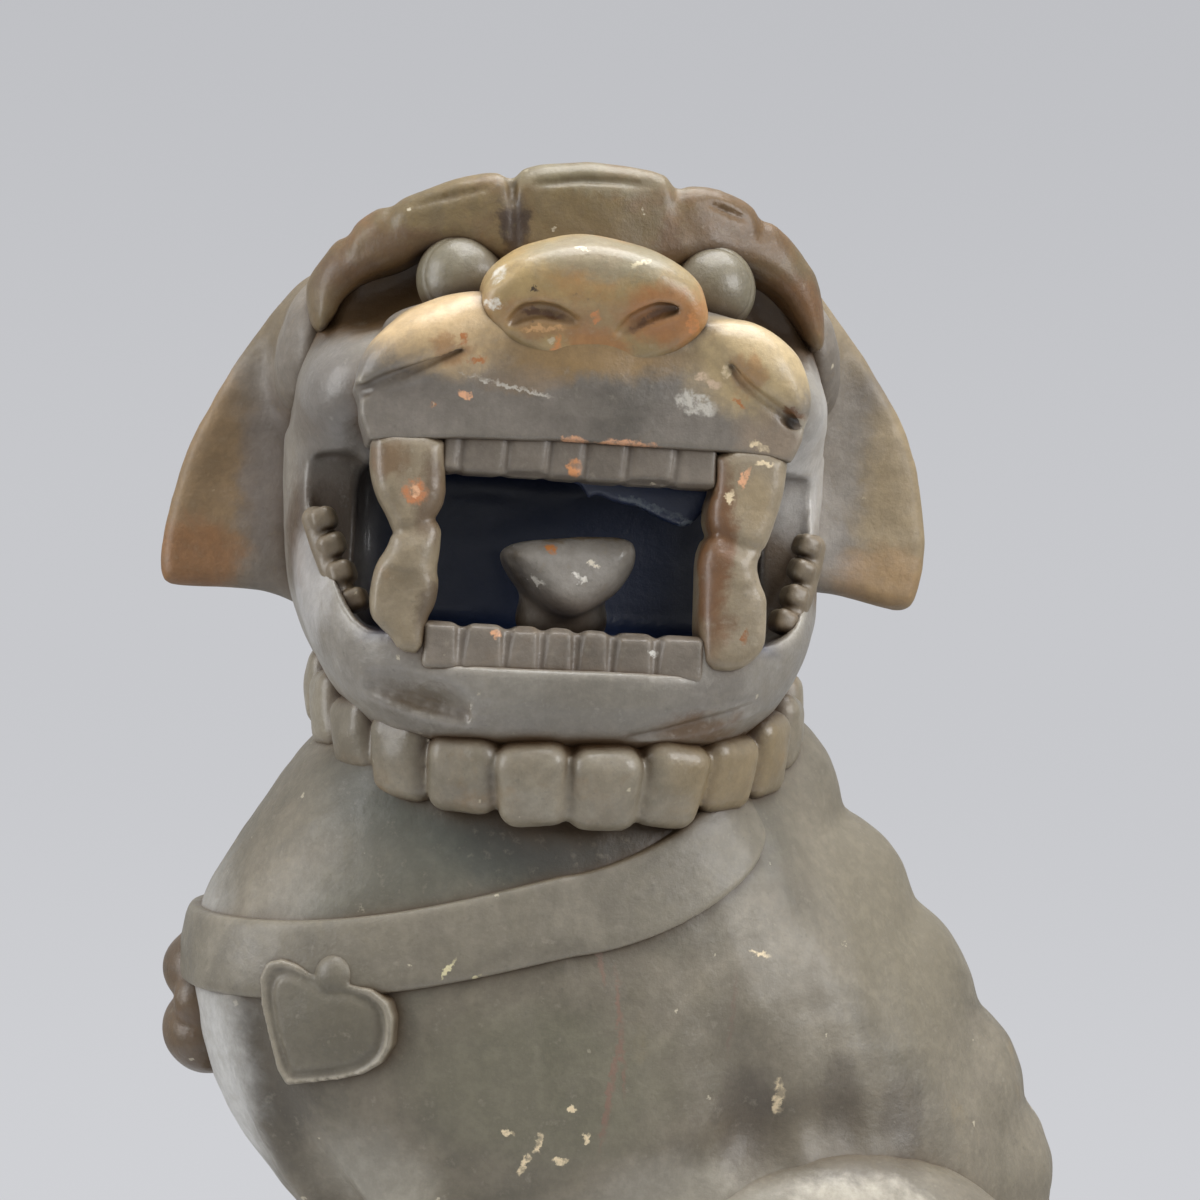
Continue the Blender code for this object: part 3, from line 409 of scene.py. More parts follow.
def spot(tree, place, centre, radii, angle=0):
    # 1 at the centre of an ellipsoid, 0 from its surface outwards: a spherical gradient in coordinates moved,
    # turned and scaled to it.
    fitted = {
        "Vector": place,
        "Location": [c * 0.001 for c in centre],
        "Rotation": (0, math.radians(angle), 0),
        "Scale": [r * 0.001 for r in radii],
    }
    moved = addNode(tree, "Mapping", fitted, vector_type="TEXTURE")[0]
    return addNode(tree, "TexGradient", {"Vector": moved}, gradient_type="SPHERICAL")["Fac"]


def boxShare(tree, place, centre, half):
    # How far a point is towards the faces of a box: the largest of its three shares of the half sizes.
    fitted = {"Vector": place, "Location": [c * 0.001 for c in centre], "Scale": [h * 0.001 for h in half]}
    moved = addNode(tree, "Mapping", fitted, vector_type="TEXTURE")[0]
    x, y, z = addNode(tree, "SeparateXYZ", addNode(tree, "VectorMath", (moved,), operation="ABSOLUTE")[:1])
    larger = addNode(tree, "Math", (x, y), operation="MAXIMUM")[0]
    return addNode(tree, "Math", (larger, z), operation="MAXIMUM")[0]


# Look of the stone. Each material below changes a part of it. Sizes are in millimetres, colours are sRGB.
common = {
    "pale": "#8f8777", "deep": "#68645a", "mottle": "#7b7464",  # the body of the stone
    "stain": "#857558", "stained": 0.0,  # iron stain, and how much of the surface it takes
    "fleck": "#d9cfb6", "speck": "#4d4a40",
    "earth": "#3a2a18", "dirt": 0.85,  # earth left in the creases, and how strong it is
    "patinaTone": "#6b5233", "patina": 0.55,  # brown film in the wider hollows
    "worn": "#b7ae9c",  # edges and high places: wear, and painted highlights along polished edges
    "roughness": 0.34, "unevenGloss": 0.18, "coat": 0.14,
    "cloudSize": 20.0, "stainSize": 11.0, "fleckSize": 5.5, "mottleSize": 4.2,
    "fineSize": 1.7, "grainSize": 1.0,
    "raggedReach": 2.2, "softReach": 6.0,  # how far the borders of chips and of patches are pushed about
    "patches": (),  # soft spots of another tone; some are painted shade and some painted highlights: centre, radii, colour, strength
    "depths": (),  # boxes painted dark as shade, where no light reaches: centre, half sizes, colour
    "chips": (),  # chips, pits and scratches, and a few painted glints: centre, radii, turn about Y, colour
}


def serpentine(name, **changes):
    # Serpentine jade, ground and polished by hand, then worn. It gives the eye a grey green body with cloudy
    # patches, brown earth left in its creases, pale edges that are partly wear and partly painted highlights,
    # and a soft waxy gloss; a material can add painted shade and painted highlights in its patches and boxes.
    look = {**common, **changes}
    made = bpy.data.materials.new(name)
    made.use_nodes = True
    tree = made.node_tree
    place = addNode(tree, "TexCoord")["Object"]
    noise = {}
    for kind, detail, roughness, distortion in (
        ("cloud", 5.0, 0.60, 0.8), ("mottle", 7.0, 0.68, 0.4), ("grain", 5.0, 0.65, 0.0),
        ("fine", 6.0, 0.7, 0.0),
    ):
        inputs = {"Detail": detail, "Roughness": roughness, "Distortion": distortion}
        noise[kind] = addNode(
            tree, "TexNoise", {"Vector": place, "Scale": 1000 / look[kind + "Size"], **inputs},
        )
    inputs = {"Vector": place, "Scale": 1000 / look["stainSize"], "Detail": 7.0, "Roughness": 0.68, "W": 3.0}
    stains = addNode(tree, "TexNoise", inputs, noise_dimensions="4D")
    cloud, mottle, grain, fine = (noise[kind][0] for kind in ("cloud", "mottle", "grain", "fine"))

    # coordinates pushed about by the finest pattern, for ragged borders, and by the mottle, for soft ones
    ragged, pushed = (
        addNode(tree, "VectorMath", (noise[kind][1], (far,) * 3, place), operation="MULTIPLY_ADD")[0]
        for kind, far in (("grain", look["raggedReach"] / 1000), ("mottle", look["softReach"] / 1000))
    )
    base = overlay(tree, linear(look["deep"]), look["pale"], cloud, (0.34, 0.66))
    base = overlay(tree, base, look["mottle"], mottle, (0.34, 0.72), (0.0, 0.75))
    stainSpan = (0.60 - 0.3 * look["stained"], 0.80 - 0.2 * look["stained"])
    base = overlay(tree, base, look["stain"], stains[0], stainSpan, (0.0, 0.8))
    flecks = addNode(tree, "TexVoronoi", {"Vector": ragged, "Scale": 1000 / look["fleckSize"]})["Distance"]
    base = overlay(tree, base, look["fleck"], flecks, (0.045, 0.07), (0.55, 0.0))
    base = overlay(tree, base, look["speck"], grain, (0.58, 0.80), (0.0, 0.5))
    # the noise that pushes the coordinates is 0.5 on average, so spots are moved by half its reach
    for centre, radii, colour, amount in look["patches"]:
        around = spot(tree, pushed, [c + look["softReach"] / 2 for c in centre], radii)
        base = overlay(tree, base, colour, around, (0.0, 0.55), (0.0, amount))
    base = overlay(tree, base, look["deep"], fine, (0.30, 0.70), (0.0, 0.28), kind="MULTIPLY")
    base = overlay(tree, base, look["worn"], fine, (0.55, 0.75), (0.0, 0.22))

    # film and earth where other stone is near, and pale edges where the stone itself is thin: wear, with
    # painted highlights of the kind polished edges catch
    wide = addNode(tree, "AmbientOcclusion", {"Distance": 0.008}, samples=5)["AO"]
    wide = addNode(tree, "Math", (stains[0], 0.5, wide), operation="MULTIPLY_ADD")[0]
    base = overlay(tree, base, look["patinaTone"], wide, (0.55, 1.12), (look["patina"], 0.0))
    hollow = addNode(tree, "AmbientOcclusion", {"Distance": 0.0024}, samples=6)["AO"]
    hollow = addNode(tree, "Math", (mottle, 0.35, hollow), operation="MULTIPLY_ADD")[0]
    base = overlay(tree, base, look["earth"], hollow, (0.52, 1.12), (look["dirt"], 0.0))
    thin = {"samples": 4, "inside": True, "only_local": True}
    ridge = addNode(tree, "AmbientOcclusion", {"Distance": 0.0011}, **thin)["AO"]
    # pale thin edges: wear and painted highlights
    base = overlay(tree, base, look["worn"], ridge, (0.42, 0.88), (0.6, 0.0))
    # painted shade: each box darkens the stone inside it towards its colour
    for centre, half, colour in look["depths"]:
        base = overlay(tree, base, colour, boxShare(tree, place, centre, half), (0.78, 1.0), (1.0, 0.0))
    broken = addNode(tree, "MapRange", (grain, 0.36, 0.56, 0.25, 1.0), interpolation_type="SMOOTHSTEP")[0]
    # chips, and painted glints, with ragged borders
    for centre, radii, angle, colour in look["chips"]:
        around = spot(tree, ragged, [c + look["raggedReach"] / 2 for c in centre], radii, angle)
        base = overlay(tree, base, colour, around, (0.08, 0.42), (0.0, 0.95), broken)

    inputs = (mottle, 0.3, 0.75, look["roughness"], look["roughness"] + look["unevenGloss"])
    gloss = addNode(tree, "MapRange", inputs, interpolation_type="SMOOTHSTEP")[0]
    bump = addNode(tree, "Bump", {"Height": grain, "Strength": 0.5, "Distance": 0.00022})[0]
    shader = tree.nodes["Principled BSDF"]
    for key, socket in (("Base Color", base), ("Roughness", gloss), ("Normal", bump)):
        tree.links.new(socket, shader.inputs[key])
    for key, value in (
        ("IOR", 1.56), ("Subsurface Weight", 0.10), ("Subsurface Radius", (1.0, 0.85, 0.6)),
        ("Subsurface Scale", 0.0015), ("Coat Weight", look["coat"]), ("Coat Roughness", 0.16),
    ):
        shader.inputs[key].default_value = value
    return made


salmon, cream, white, orange = "#d9a37c", "#dcc9a6", "#cfccc4", "#b0703c"
bodyJade = serpentine(
    "bodySerpentine", roughness=0.42, coat=0.08, pale="#837b6b", deep="#625c4e", mottle="#746c5e",
    patches=(
        # painted shade: the chest darkens under the collar, darkest in the collar's painted shadow just below
        # it
        ((-12, -24, 122), (34, 28, 17), "#464a42", 0.85), ((-6, -26, 118), (22, 20, 7), "#2f302e", 0.75),
        ((-33, -28, 106), (14, 14, 12), "#5b5c52", 0.5), ((-12, -30, 90), (20, 14, 12), "#6d6a58", 0.6),
        # painted shade in the dark strip behind the edge of the chest, and a painted reflection of the bright
        # tent on the chest's front face
        ((-44, -24, 86), (8, 13, 26), "#463f34", 0.7), ((-50, -5, 84), (10.5, 22, 33), "#bfbebb", 1.0),
        ((-33, -28, 76), (12, 12, 10), "#99958a", 0.6), ((6, -30, 76), (16, 12, 8), "#9f998c", 0.7),
        # painted shade: the dark band over the haunch, and the darker hollows of the flutes in it
        ((22, -30, 85), (24, 12, 7), "#5d5446", 0.6), ((12, -30, 87), (5, 10, 8), "#463d35", 0.5),
        ((23.5, -30, 88.5), (3.6, 10, 7), "#463d35", 0.45), ((31.5, -28, 87), (3.8, 10, 7), "#463d35", 0.45),
        # the second patch here is a painted highlight along the haunch's upper rim
        ((32, -12, 108), (14, 22, 26), "#776f5d", 0.7), ((24, -36, 80), (16, 6, 5.5), "#bbb4a5", 0.9),
    ),
    chips=(
        ((15.5, -29.5, 88.6), (0.9, 3.0, 3.0), 4, cream), ((21.3, -27, 114.7), (1.2, 3.5, 1.1), 0, white),
        ((12.9, -30, 105.3), (1.9, 4, 0.6), 12, cream),
        ((-3.6, -31, 96.6), (0.45, 4, 9.5), -6, "#776052"), ((-4.6, -31, 89.0), (0.5, 4, 8.0), 8, "#776052"),
        ((9.5, -31, 98), (0.4, 4, 8.0), 4, "#6f6255"), ((-6.6, -31, 106), (0.5, 4, 6.0), -14, "#776052"),
        ((-12.4, -31, 83.5), (0.7, 4, 1.5), 10, cream), ((-9.8, -31, 81.6), (1.2, 4, 0.6), 0, cream),
        ((-13.9, -31, 81.0), (0.6, 4, 1.8), 30, cream), ((-8.7, -31, 87.6), (0.6, 4, 0.6), 0, cream),
        ((-6.9, -31, 84.2), (0.5, 4, 0.9), -20, cream), ((-16.0, -31, 84.6), (0.9, 4, 0.4), 10, cream),
        ((22.6, -36, 83.2), (1.6, 4, 1.8), 0, "#d2b48f"),
    ),
)
jade = serpentine(
    "serpentine", roughness=0.40, coat=0.10, pale="#857e70", deep="#676155",
    patches=(((-36.6, -28, 95.6), (10, 8, 8.5), "#625c4d", 0.85),),
    chips=(
        ((-23.4, -30.5, 103.0), (0.4, 4, 1.8), 28, "#c8bf98"),
        ((-20.2, -30.5, 101.8), (0.5, 4, 0.8), 0, "#c8bf98"),
    ),
)
headJade = serpentine(
    "headSerpentine", coat=0.3, pale="#97928a", deep="#78726a", mottle="#888175", worn="#c9c4b8", dirt=0.9,
    earth="#5a442c",
    patches=(
        # painted shade: dark brown deep in each side opening of the mouth
        ((-39, -13, 152), (9, 12, 12), "#43301d", 0.85), ((17, -13, 152), (9, 12, 12), "#543f27", 0.8),
        ((-36, -13, 180.5), (16, 22, 8.5), "#6b543a", 0.95), ((14, -13, 180.5), (14, 22, 9), "#665444", 0.95),
        ((headX, 2, 196), (40, 30, 14), "#57513f", 0.9), ((-27, -20, 182), (7, 12, 7), "#3d3027", 0.7),
        ((6, -20, 182), (7, 12, 7), "#3d3027", 0.7),
        ((headX, -36, 143.0), (19, 6, 4.5), "#5f4730", 0.7), ((-39, -20, 166), (8, 14, 12), "#76706a", 0.8),
        # painted highlights: the pale band low on the cheek at x -42, and the cheek at x 19 that faces the
        # brightest lamp
        ((-42, -20, 146), (5, 14, 10), "#b4b1af", 0.75), ((19, -14, 164), (9, 16, 14), "#bfbbb6", 0.85),
        # the first patch here is painted shade on the downward facet under the chin's corner
        ((-28.6, -33, 133.4), (6.5, 7, 2.6), "#5b4f3c", 0.8), ((6, -34, 131), (9, 8, 3.0), "#63482a", 0.85),
        ((headX, -36, 134), (16, 8, 5), "#7d786c", 0.5),
    ),
    # painted shade filling the inside of the mouth, in dark blue black
    depths=(((headX, -8, 151.8), (25.5, 27.5, 12.8), "#202c48"),),
    chips=(
        ((5.5, -36.3, 133.0), (2.4, 3, 0.5), 12, white), ((-35.5, -33.5, 139.6), (1.5, 4, 1.1), 20, salmon),
        ((2.0, -36.3, 131.6), (1.4, 3, 0.4), -10, white),
        ((-2.0, -27.7, 156.4), (6.5, 1.8, 0.6), 16, "#56606b"),
        ((-15.4, -27.7, 160.6), (2.6, 1.8, 0.45), 40, "#56606b"),
        ((1.8, -27.7, 154.8), (1.6, 1.8, 0.5), -10, "#6b7580"),
    ),
)
stainedJade = serpentine(
    "ironStainedSerpentine", roughness=0.44, pale="#958870", deep="#756e5c", stain="#94754e", stained=0.4,
)
lipJade = serpentine(
    "muzzleSerpentine", coat=0.25, pale="#827a71", deep="#645e56", mottle="#716a60", stain="#8c7554",
    stained=0.15,
    patches=(
        ((-28, -36, 175.5), (13, 9, 7), "#cfb285", 0.9), ((8, -36, 173.5), (11, 9, 8.5), "#c2ab80", 0.9),
        ((-10.6, -37, 173.2), (14, 8, 4.8), "#96794d", 0.9),
        ((-26.4, -38, 172.5), (3.4, 5, 1.6), "#a0703f", 0.6),
        ((6.5, -38, 171.4), (2.6, 5, 3.0), "#a0703f", 0.55),
        ((10.5, -36, 164.6), (6, 6, 4), "#95816a", 0.6), ((-18, -36, 169.5), (6, 6, 2.4), "#8b7457", 0.5),
    ),
    chips=(
        ((-12.4, -36.0, 162.9), (2.3, 2.5, 0.8), 0, salmon),
        ((-6.1, -36.0, 162.8), (4.6, 2.5, 0.85), 2, salmon),
        ((1.2, -36, 168.0), (3.2, 3, 1.6), 18, "#b9b4aa"),
        ((-20.2, -36, 168.8), (6.8, 3, 0.3), 12, "#b7b1a6"), ((-24.6, -36, 167.4), (1.2, 3, 0.5), 30, salmon),
        ((2.6, -36, 170.6), (2.0, 3, 0.7), 24, "#c4ad94"),
        ((4.4, -36.5, 171.6), (0.8, 3, 1.0), 0, cream), ((6.2, -37, 168.4), (1.1, 3, 0.4), 40, orange),
        ((-23.5, -37.5, 171.4), (1.6, 3, 0.6), -15, orange),
        ((-25.4, -38, 173.6), (0.6, 3, 1.0), 0, orange), ((12.2, -35.5, 167.6), (2.2, 3, 0.5), 24, "#6b4a2e"),
        ((8.6, -36, 163.6), (1.6, 3, 0.5), 20, cream), ((-28.5, -36.5, 166.2), (0.8, 3, 0.4), 0, orange),
    ),
)
noseJade = serpentine(
    "noseSerpentine", coat=0.3, pale="#b39a6a", deep="#8a7853", mottle="#a08a60", stain="#ad7d49",
    stained=0.6, worn="#cfc0a0",
    patches=(
        ((-10, -40, 184), (13, 8, 4.5), "#8c8670", 0.75), ((-3.4, -39, 177.4), (7, 6, 4.0), "#a96c38", 0.7),
        ((-16, -39, 176.0), (7, 6, 3.0), "#976a3d", 0.6), ((-10.5, -38, 173.4), (5, 6, 3.0), "#a9713d", 0.7),
        ((1.0, -36, 177), (4, 6, 6), "#b27c45", 0.7),
    ),
    chips=(
        ((-22.3, -39, 177.6), (1.3, 3, 0.8), 10, "#d9d3c6"),
        ((-22.0, -39.5, 180.8), (0.9, 3, 1.9), 35, "#d3cdbf"),
        ((-17.8, -40, 176.2), (0.4, 3, 0.4), 0, "#3c2d20"),
        ((-17.9, -40.5, 179.1), (0.35, 3, 0.35), 0, "#3c2d20"),
        ((-16.8, -38.5, 176.9), (3.4, 3, 0.55), 6, "#5f3f24"),
        ((-4.6, -38.5, 177.0), (3.6, 3, 0.6), -36, "#5f3f24"),
        ((-16.6, -38.5, 175.2), (3.2, 3, 0.4), -4, "#c59a68"),
        ((-15.0, -38.5, 173.4), (0.9, 3, 1.6), 10, "#c8854c"),
        ((-10.9, -39, 176.6), (0.7, 3, 0.7), 0, "#c8854c"),
        ((0.2, -38.5, 176.4), (0.9, 3, 1.7), -30, "#c8854c"),
        ((-6.4, -40, 182.6), (1.9, 3, 0.3), -24, "#c2b595"),
        ((-13.0, -40, 184), (1.2, 3, 0.35), 10, "#d8cfb4"),
    ),
)
browJade = serpentine(
    "browSerpentine", coat=0.16, roughness=0.40, pale="#776541", deep="#5a4c2f", mottle="#675534",
    stain="#74502a", stained=0.45, worn="#93835c", dirt=0.95, earth="#2e1c0d",
    patches=(
        # near black brown down the groove: painted shade of a deep notch, over brown earth
        ((-19.5, -29, 187.5), (2.4, 5, 5.5), "#35220f", 1.0),
        ((-1.0, -28, 187.0), (2.4, 5, 4.5), "#5d3f1f", 0.7), ((8, -24, 190), (11, 12, 7), "#62461f", 0.9),
        ((-37, -20, 181), (9, 10, 5), "#553a1e", 0.8), ((-30, -24, 185.4), (9, 8, 2.8), "#5b4023", 0.75),
        ((-41, -14, 178), (6, 10, 8), "#76664a", 0.7),
        ((14, -20, 181), (8, 10, 6), "#6f4a26", 0.8), ((headX, -28, 184.4), (10, 6, 2.4), "#4f3d25", 0.7),
        ((4, -26, 186.5), (6, 6, 2.2), "#5e472b", 0.7), ((headX, -24, 194), (14, 10, 3), "#857f68", 0.6),
    ),
)
earJade = serpentine(
    "earSerpentine", roughness=0.46, coat=0.05, pale="#877f75", deep="#6a6259", mottle="#786f63",
    stain="#8a7354", stained=0.1, worn="#a08d6e",
    patches=(
        ((-56, 4, 158), (10, 12, 26), "#866b45", 0.8), ((-56, 4, 149), (9, 12, 7), "#875c33", 0.75),
        ((-46, 4, 181), (12, 14, 9), "#6b5c42", 0.8), ((-46, 4, 160), (6, 12, 14), "#6b635e", 0.6),
        ((36, 4, 160), (9, 12, 24), "#928060", 0.85), ((33, 4, 150), (9, 12, 6), "#98764a", 0.6),
        ((27, 4, 183), (12, 14, 9), "#86765a", 0.8), ((24, 4, 166), (7, 12, 16), "#8f887e", 0.6),
    ),
)
fangJade = serpentine(
    "fangSerpentine", coat=0.25, pale="#978a74", deep="#796c56", mottle="#8c7d63", stain="#8f7350",
    stained=0.2, worn="#c2b8a2", dirt=0.95,
    patches=(
        ((4.2, -35, 152), (3.0, 5, 16), "#6e4826", 0.9), ((-28.0, -35, 156), (2.4, 5, 7), "#5f4933", 0.75),
        ((-27.5, -34, 143), (2.6, 5, 6), "#4c3b2a", 0.75), ((-33.5, -35, 160), (4, 5, 3), "#6f5335", 0.7),
        ((8.5, -37, 157), (3, 5, 5), "#a08d6c", 0.6),
    ),
    chips=(
        ((-29.9, -36.4, 156.4), (1.8, 3, 1.8), 0, "#b5754a"),
        ((-29.9, -36.4, 156.6), (0.8, 3, 1.0), 0, "#d9ab86"),
        ((7.2, -36.4, 160.0), (0.5, 3, 1.5), 20, salmon), ((5.6, -36.4, 157.6), (0.6, 3, 1.1), 0, cream),
        ((8.0, -36.4, 142.0), (0.4, 3, 1.6), 10, "#8a5a32"), ((9.4, -36.4, 161.6), (1.4, 3, 0.5), 0, cream),
    ),
)
toothJade = serpentine(
    "toothSerpentine", pale="#7f766b", deep="#635b51", mottle="#71675b", stain="#745b3e", stained=0.25,
    dirt=1.0, earth="#33200f", worn="#ada392",
    chips=(
        ((-12.2, -35.6, 160.0), (1.2, 3, 1.4), 0, "#c98a58"), ((-20, -35.9, 141.0), (0.8, 3, 0.6), 0, salmon),
        ((-2.2, -36.2, 139.6), (1.0, 3, 0.45), 20, white),
    ),
)
molarJade = serpentine(
    "molarSerpentine", pale="#857865", deep="#665945", mottle="#74664f", stain="#6a5034", stained=0.3,
    dirt=1.0, earth="#2b1b0d", worn="#8f8473",
)
tongueJade = serpentine(
    "tongueSerpentine", coat=0.3, pale="#a49e96", deep="#87827a", mottle="#948e85", worn="#b09a78",
    patches=(
        # painted shade: the tongue's left side, and the near black under and behind it
        ((-19, -22, 146), (5, 10, 8), "#3d3226", 0.85), ((headX, -15, 142.5), (12, 9, 5), "#1c150e", 0.95),
        ((headX, -25, 153.2), (10, 8, 1.6), "#77613f", 0.7),
    ),
    chips=(
        ((-13.7, -29, 151.1), (1.0, 3, 0.8), 0, "#c47c3d"),
        # painted glints: the near-white marks on the tongue's flat front
        ((-15.1, -29.5, 147.4), (1.3, 3, 0.4), 30, "#efeae0"),
        ((-10.1, -29.5, 147.9), (1.2, 3, 0.5), 28, "#efeae0"),
        ((-8.7, -29.5, 149.5), (1.0, 3, 0.4), 10, "#e6dcc8"),
    ),
)
eyeJade = serpentine("eyeSerpentine", coat=0.3, pale="#7f7968", deep="#645c4a", mottle="#71684f", dirt=0.95)
beadJade = serpentine(
    "beadSerpentine", roughness=0.34, coat=0.25, pale="#999180", deep="#766e5e", mottle="#867b68",
    stain="#876a42", stained=0.25, dirt=1.0, earth="#3a2713", worn="#b3a994",
    patches=(((9, -26, 128), (16, 14, 11), "#8f7a54", 0.6), ((-34, -20, 131), (10, 14, 9), "#6b6353", 0.6)),
)
maneJade = serpentine(
    "maneSerpentine", roughness=0.46, coat=0.05, pale="#7f786b", deep="#5f594e", worn="#98917f",
    patches=(((headX, 8, 192), (34, 40, 15), "#625c4d", 0.8),),
)
ornamentJade = serpentine(
    "ornamentSerpentine", pale="#6c573c", deep="#54432f", mottle="#5f4c37", stain="#66492c", stained=0.3,
)


skullShape = {
    # height, half width, front, back
    "rows": (
        (126.0, 19.0, -8.0, 15.0), (135.0, 27.0, -13.0, 19.0), (145.0, 31.3, -18.0, 23.0),
        (158.0, 32.8, -22.0, 25.0), (170.0, 33.0, -24.0, 25.0), (180.0, 31.5, -23.5, 24.0),
        (187.0, 27.5, -21.0, 20.5), (192.5, 19.5, -16.0, 14.0), (195.0, 6.0, -6.0, 5.0),
    ),
    "jawRows": (
        (126.0, 12.0, -22.0, 2.0), (128.2, 18.5, -29.5, 3.0), (129.8, 22.0, -33.2, 5.0),
        (133.5, 26.0, -35.6, 8.0), (138.3, 29.0, -36.2, 12.0), (142.0, 30.6, -36.0, 16.0),
        (146.0, 31.8, -33.2, 20.0), (150.5, 32.4, -29.0, 22.0), (155.0, 32.8, -25.5, 24.0),
        (160.0, 33.0, -23.0, 24.5), (164.0, 33.1, -22.0, 24.5),
    ),
    # outer edge of the hole between each fang and the cheek, in X and Z
    "rightHole": (
        (-34.0, 163.5), (-39.0, 163.2), (-41.3, 161.8), (-42.5, 159.8), (-42.4, 158.2), (-41.0, 154.7),
        (-39.3, 150.6), (-38.0, 146.4), (-36.2, 142.8), (-34.0, 140.8), (-31.0, 141.5),
    ),
    "leftHole": (
        (11, 163.5), (17.3, 162.4), (19.6, 161.4), (19.5, 158.8), (19.1, 155.6), (18.8, 152.8), (18.3, 150.0),
        (17.4, 147.5), (16.5, 145.4), (15.1, 142.6), (11.5, 141.0), (8.0, 141.5),
    ),
    "palate": (
        (-16.0, 163), (-14.0, 160.5), (-12.4, 159.0), (-10.6, 158.7), (-9.6, 156.9), (-8.7, 157.7),
        (-6.4, 156.8), (-4.0, 156.6), (-1.0, 155.0), (1.0, 154.2), (2.4, 154.4), (4.6, 157.0), (5.0, 163),
    ),
    "crease": ((-4.5, -32.9, 129.8), (2.6, -32.8, 131.3), (7.1, -32.0, 132.6), (11.5, -29.6, 134.4)),
    "facetAt": (-29.0, -32.9, 133.4), "facetHalf": (6.4, 3.0, 2.4), "facetWay": (-0.40, -0.62, -0.67),
    # centre, radii, turn about Y, softness; the cheekbones make the lower edge of the hollows
    "cheekbones": (
        ((-33.0, -16.0, 170.5), (10.5, 11.5, 7.2), -25, 5.0),
        ((11.4, -16.0, 170.3), (9.0, 11.5, 7.2), 25, 5.0),
    ),
    "eyeHollows": (
        ((-34.0, -23.0, 181.7), (10.6, 7.5, 5.2), -27, 0.7), ((12.2, -23.0, 181.2), (9.0, 7.5, 5.8), 38, 0.7),
        ((-25.5, -26.0, 182.4), (7.0, 6.5, 6.4), 0, 1.0), ((4.0, -26.0, 182.4), (7.0, 6.5, 6.4), 0, 1.0),
    ),
}


def makeSkull():
    # Skull, cheeks and lower jaw are one shell, because the polished cheek runs into the chin unbroken.
    block = startBlock((-47, -40, 124), (25, 29, 198), 0.52)
    carve(block, tower(skullShape["rows"], 2.8, headX), 0)
    carve(block, tower(skullShape["jawRows"], 2.8, headX), 3.0)
    # facet under the left corner of the chin, ground in the plane that its direction is square to
    facing = Vector(skullShape["facetWay"])
    tilted = facing.to_track_quat("-Y", "Z") @ Euler((0, math.radians(18), 0)).to_quaternion()
    facetTurn = [math.degrees(a) for a in tilted.to_euler()]
    facetAt = Vector(skullShape["facetAt"]) + facing * 1.1
    carve(block, brick(tuple(facetAt), skullShape["facetHalf"], 0.2, facetTurn), 0.2, True)
    # crease under the right corner of the chin
    carve(block, rope(rounded(skullShape["crease"], 2, False), (0.4, 0.9, 0.4)), 0.4, True)
    # mouth: the window at the front with the wider hollow behind it, and the side openings
    carve(block, brick((headX, -21, 151.6), (24.6, 20, 10.2), 3.0), 0.6, True)
    for hole in ("rightHole", "leftHole"):
        carve(block, slab(rounded(skullShape[hole], 1), -45, -13, 1.2), 0.8, True)
    # seat of the lower teeth
    carve(block, brick((-12.35, -38.4, 142.6), (15.3, 5.2, 5.2), 0.2), 0.2, True)
    # palate, with its broken edge
    carve(block, slab(skullShape["palate"], -28.5, -26.9, 0.5), 0.3)
    for centre, radii, angle, soft in skullShape["cheekbones"]:
        carve(block, egg(centre, radii, (0, angle, 0)), soft)
    for centre, radii, angle, soft in skullShape["eyeHollows"]:
        carve(block, egg(centre, radii, (0, angle, 0)), soft, True)
    return carved("head", block, headJade, ["skull", "lower_jaw"], "jade", 0.12, 5)


muzzleShape = {
    "front": [
        (-36.4, 168.0), (-36.3, 164.7), (-35.2, 162.0), (-31.8, 162.1), (-26.1, 162.6), (-14.1, 163.0),
        (-4.8, 162.9), (3.9, 162.7), (9.0, 162.4), (12.6, 161.9), (13.7, 164.6), (13.8, 169.1), (11.5, 173.0),
        (5.0, 175.6), (-3, 178.0), (-18, 178.0), (-27, 175.6), (-34.0, 172.0),
    ],
    # outline and roundness of each lip pad
    "pads": (
        (
            [
                (-36.9, 167.6), (-36.3, 170.0), (-34.4, 172.9), (-32.6, 174.9), (-30.0, 176.6),
                (-26.9, 177.8), (-23.4, 178.6), (-20.6, 177.4), (-18.4, 175.2), (-20.6, 173.4),
                (-24.0, 172.6), (-26.8, 171.8), (-29.9, 170.2), (-33.7, 168.4),
            ],
            2.4,
        ),
        (
            [
                (1.4, 175.0), (2.7, 177.3), (5.4, 177.1), (7.8, 176.6), (9.8, 175.4), (11.4, 174.2),
                (12.8, 172.4), (13.8, 170.2), (14.0, 167.6), (13.2, 166.4), (11.0, 167.6), (8.8, 169.0),
                (7.0, 170.6), (5.6, 172.2), (3.4, 173.4),
            ],
            2.3,
        ),
    ),
    # slits under the pads, and their radii
    "slits": (
        (
            [
                (-38.0, -33.5, 167.0), (-36.0, -36.0, 167.4), (-34.4, -36.8, 168.2), (-31.7, -36.9, 169.4),
                (-29.0, -36.9, 170.8), (-25.6, -36.7, 172.5),
            ],
            (0.8, 0.8, 0.35),
        ),
        (
            [
                (5.0, -36.6, 172.4), (5.9, -36.9, 170.8), (7.1, -37.0, 169.6), (8.9, -36.9, 168.3),
                (11.6, -36.4, 166.8), (13.8, -34.2, 166.0),
            ],
            (0.4, 0.8, 0.8),
        ),
    ),
    "face": -35.8, "padFace": -37.4,
}


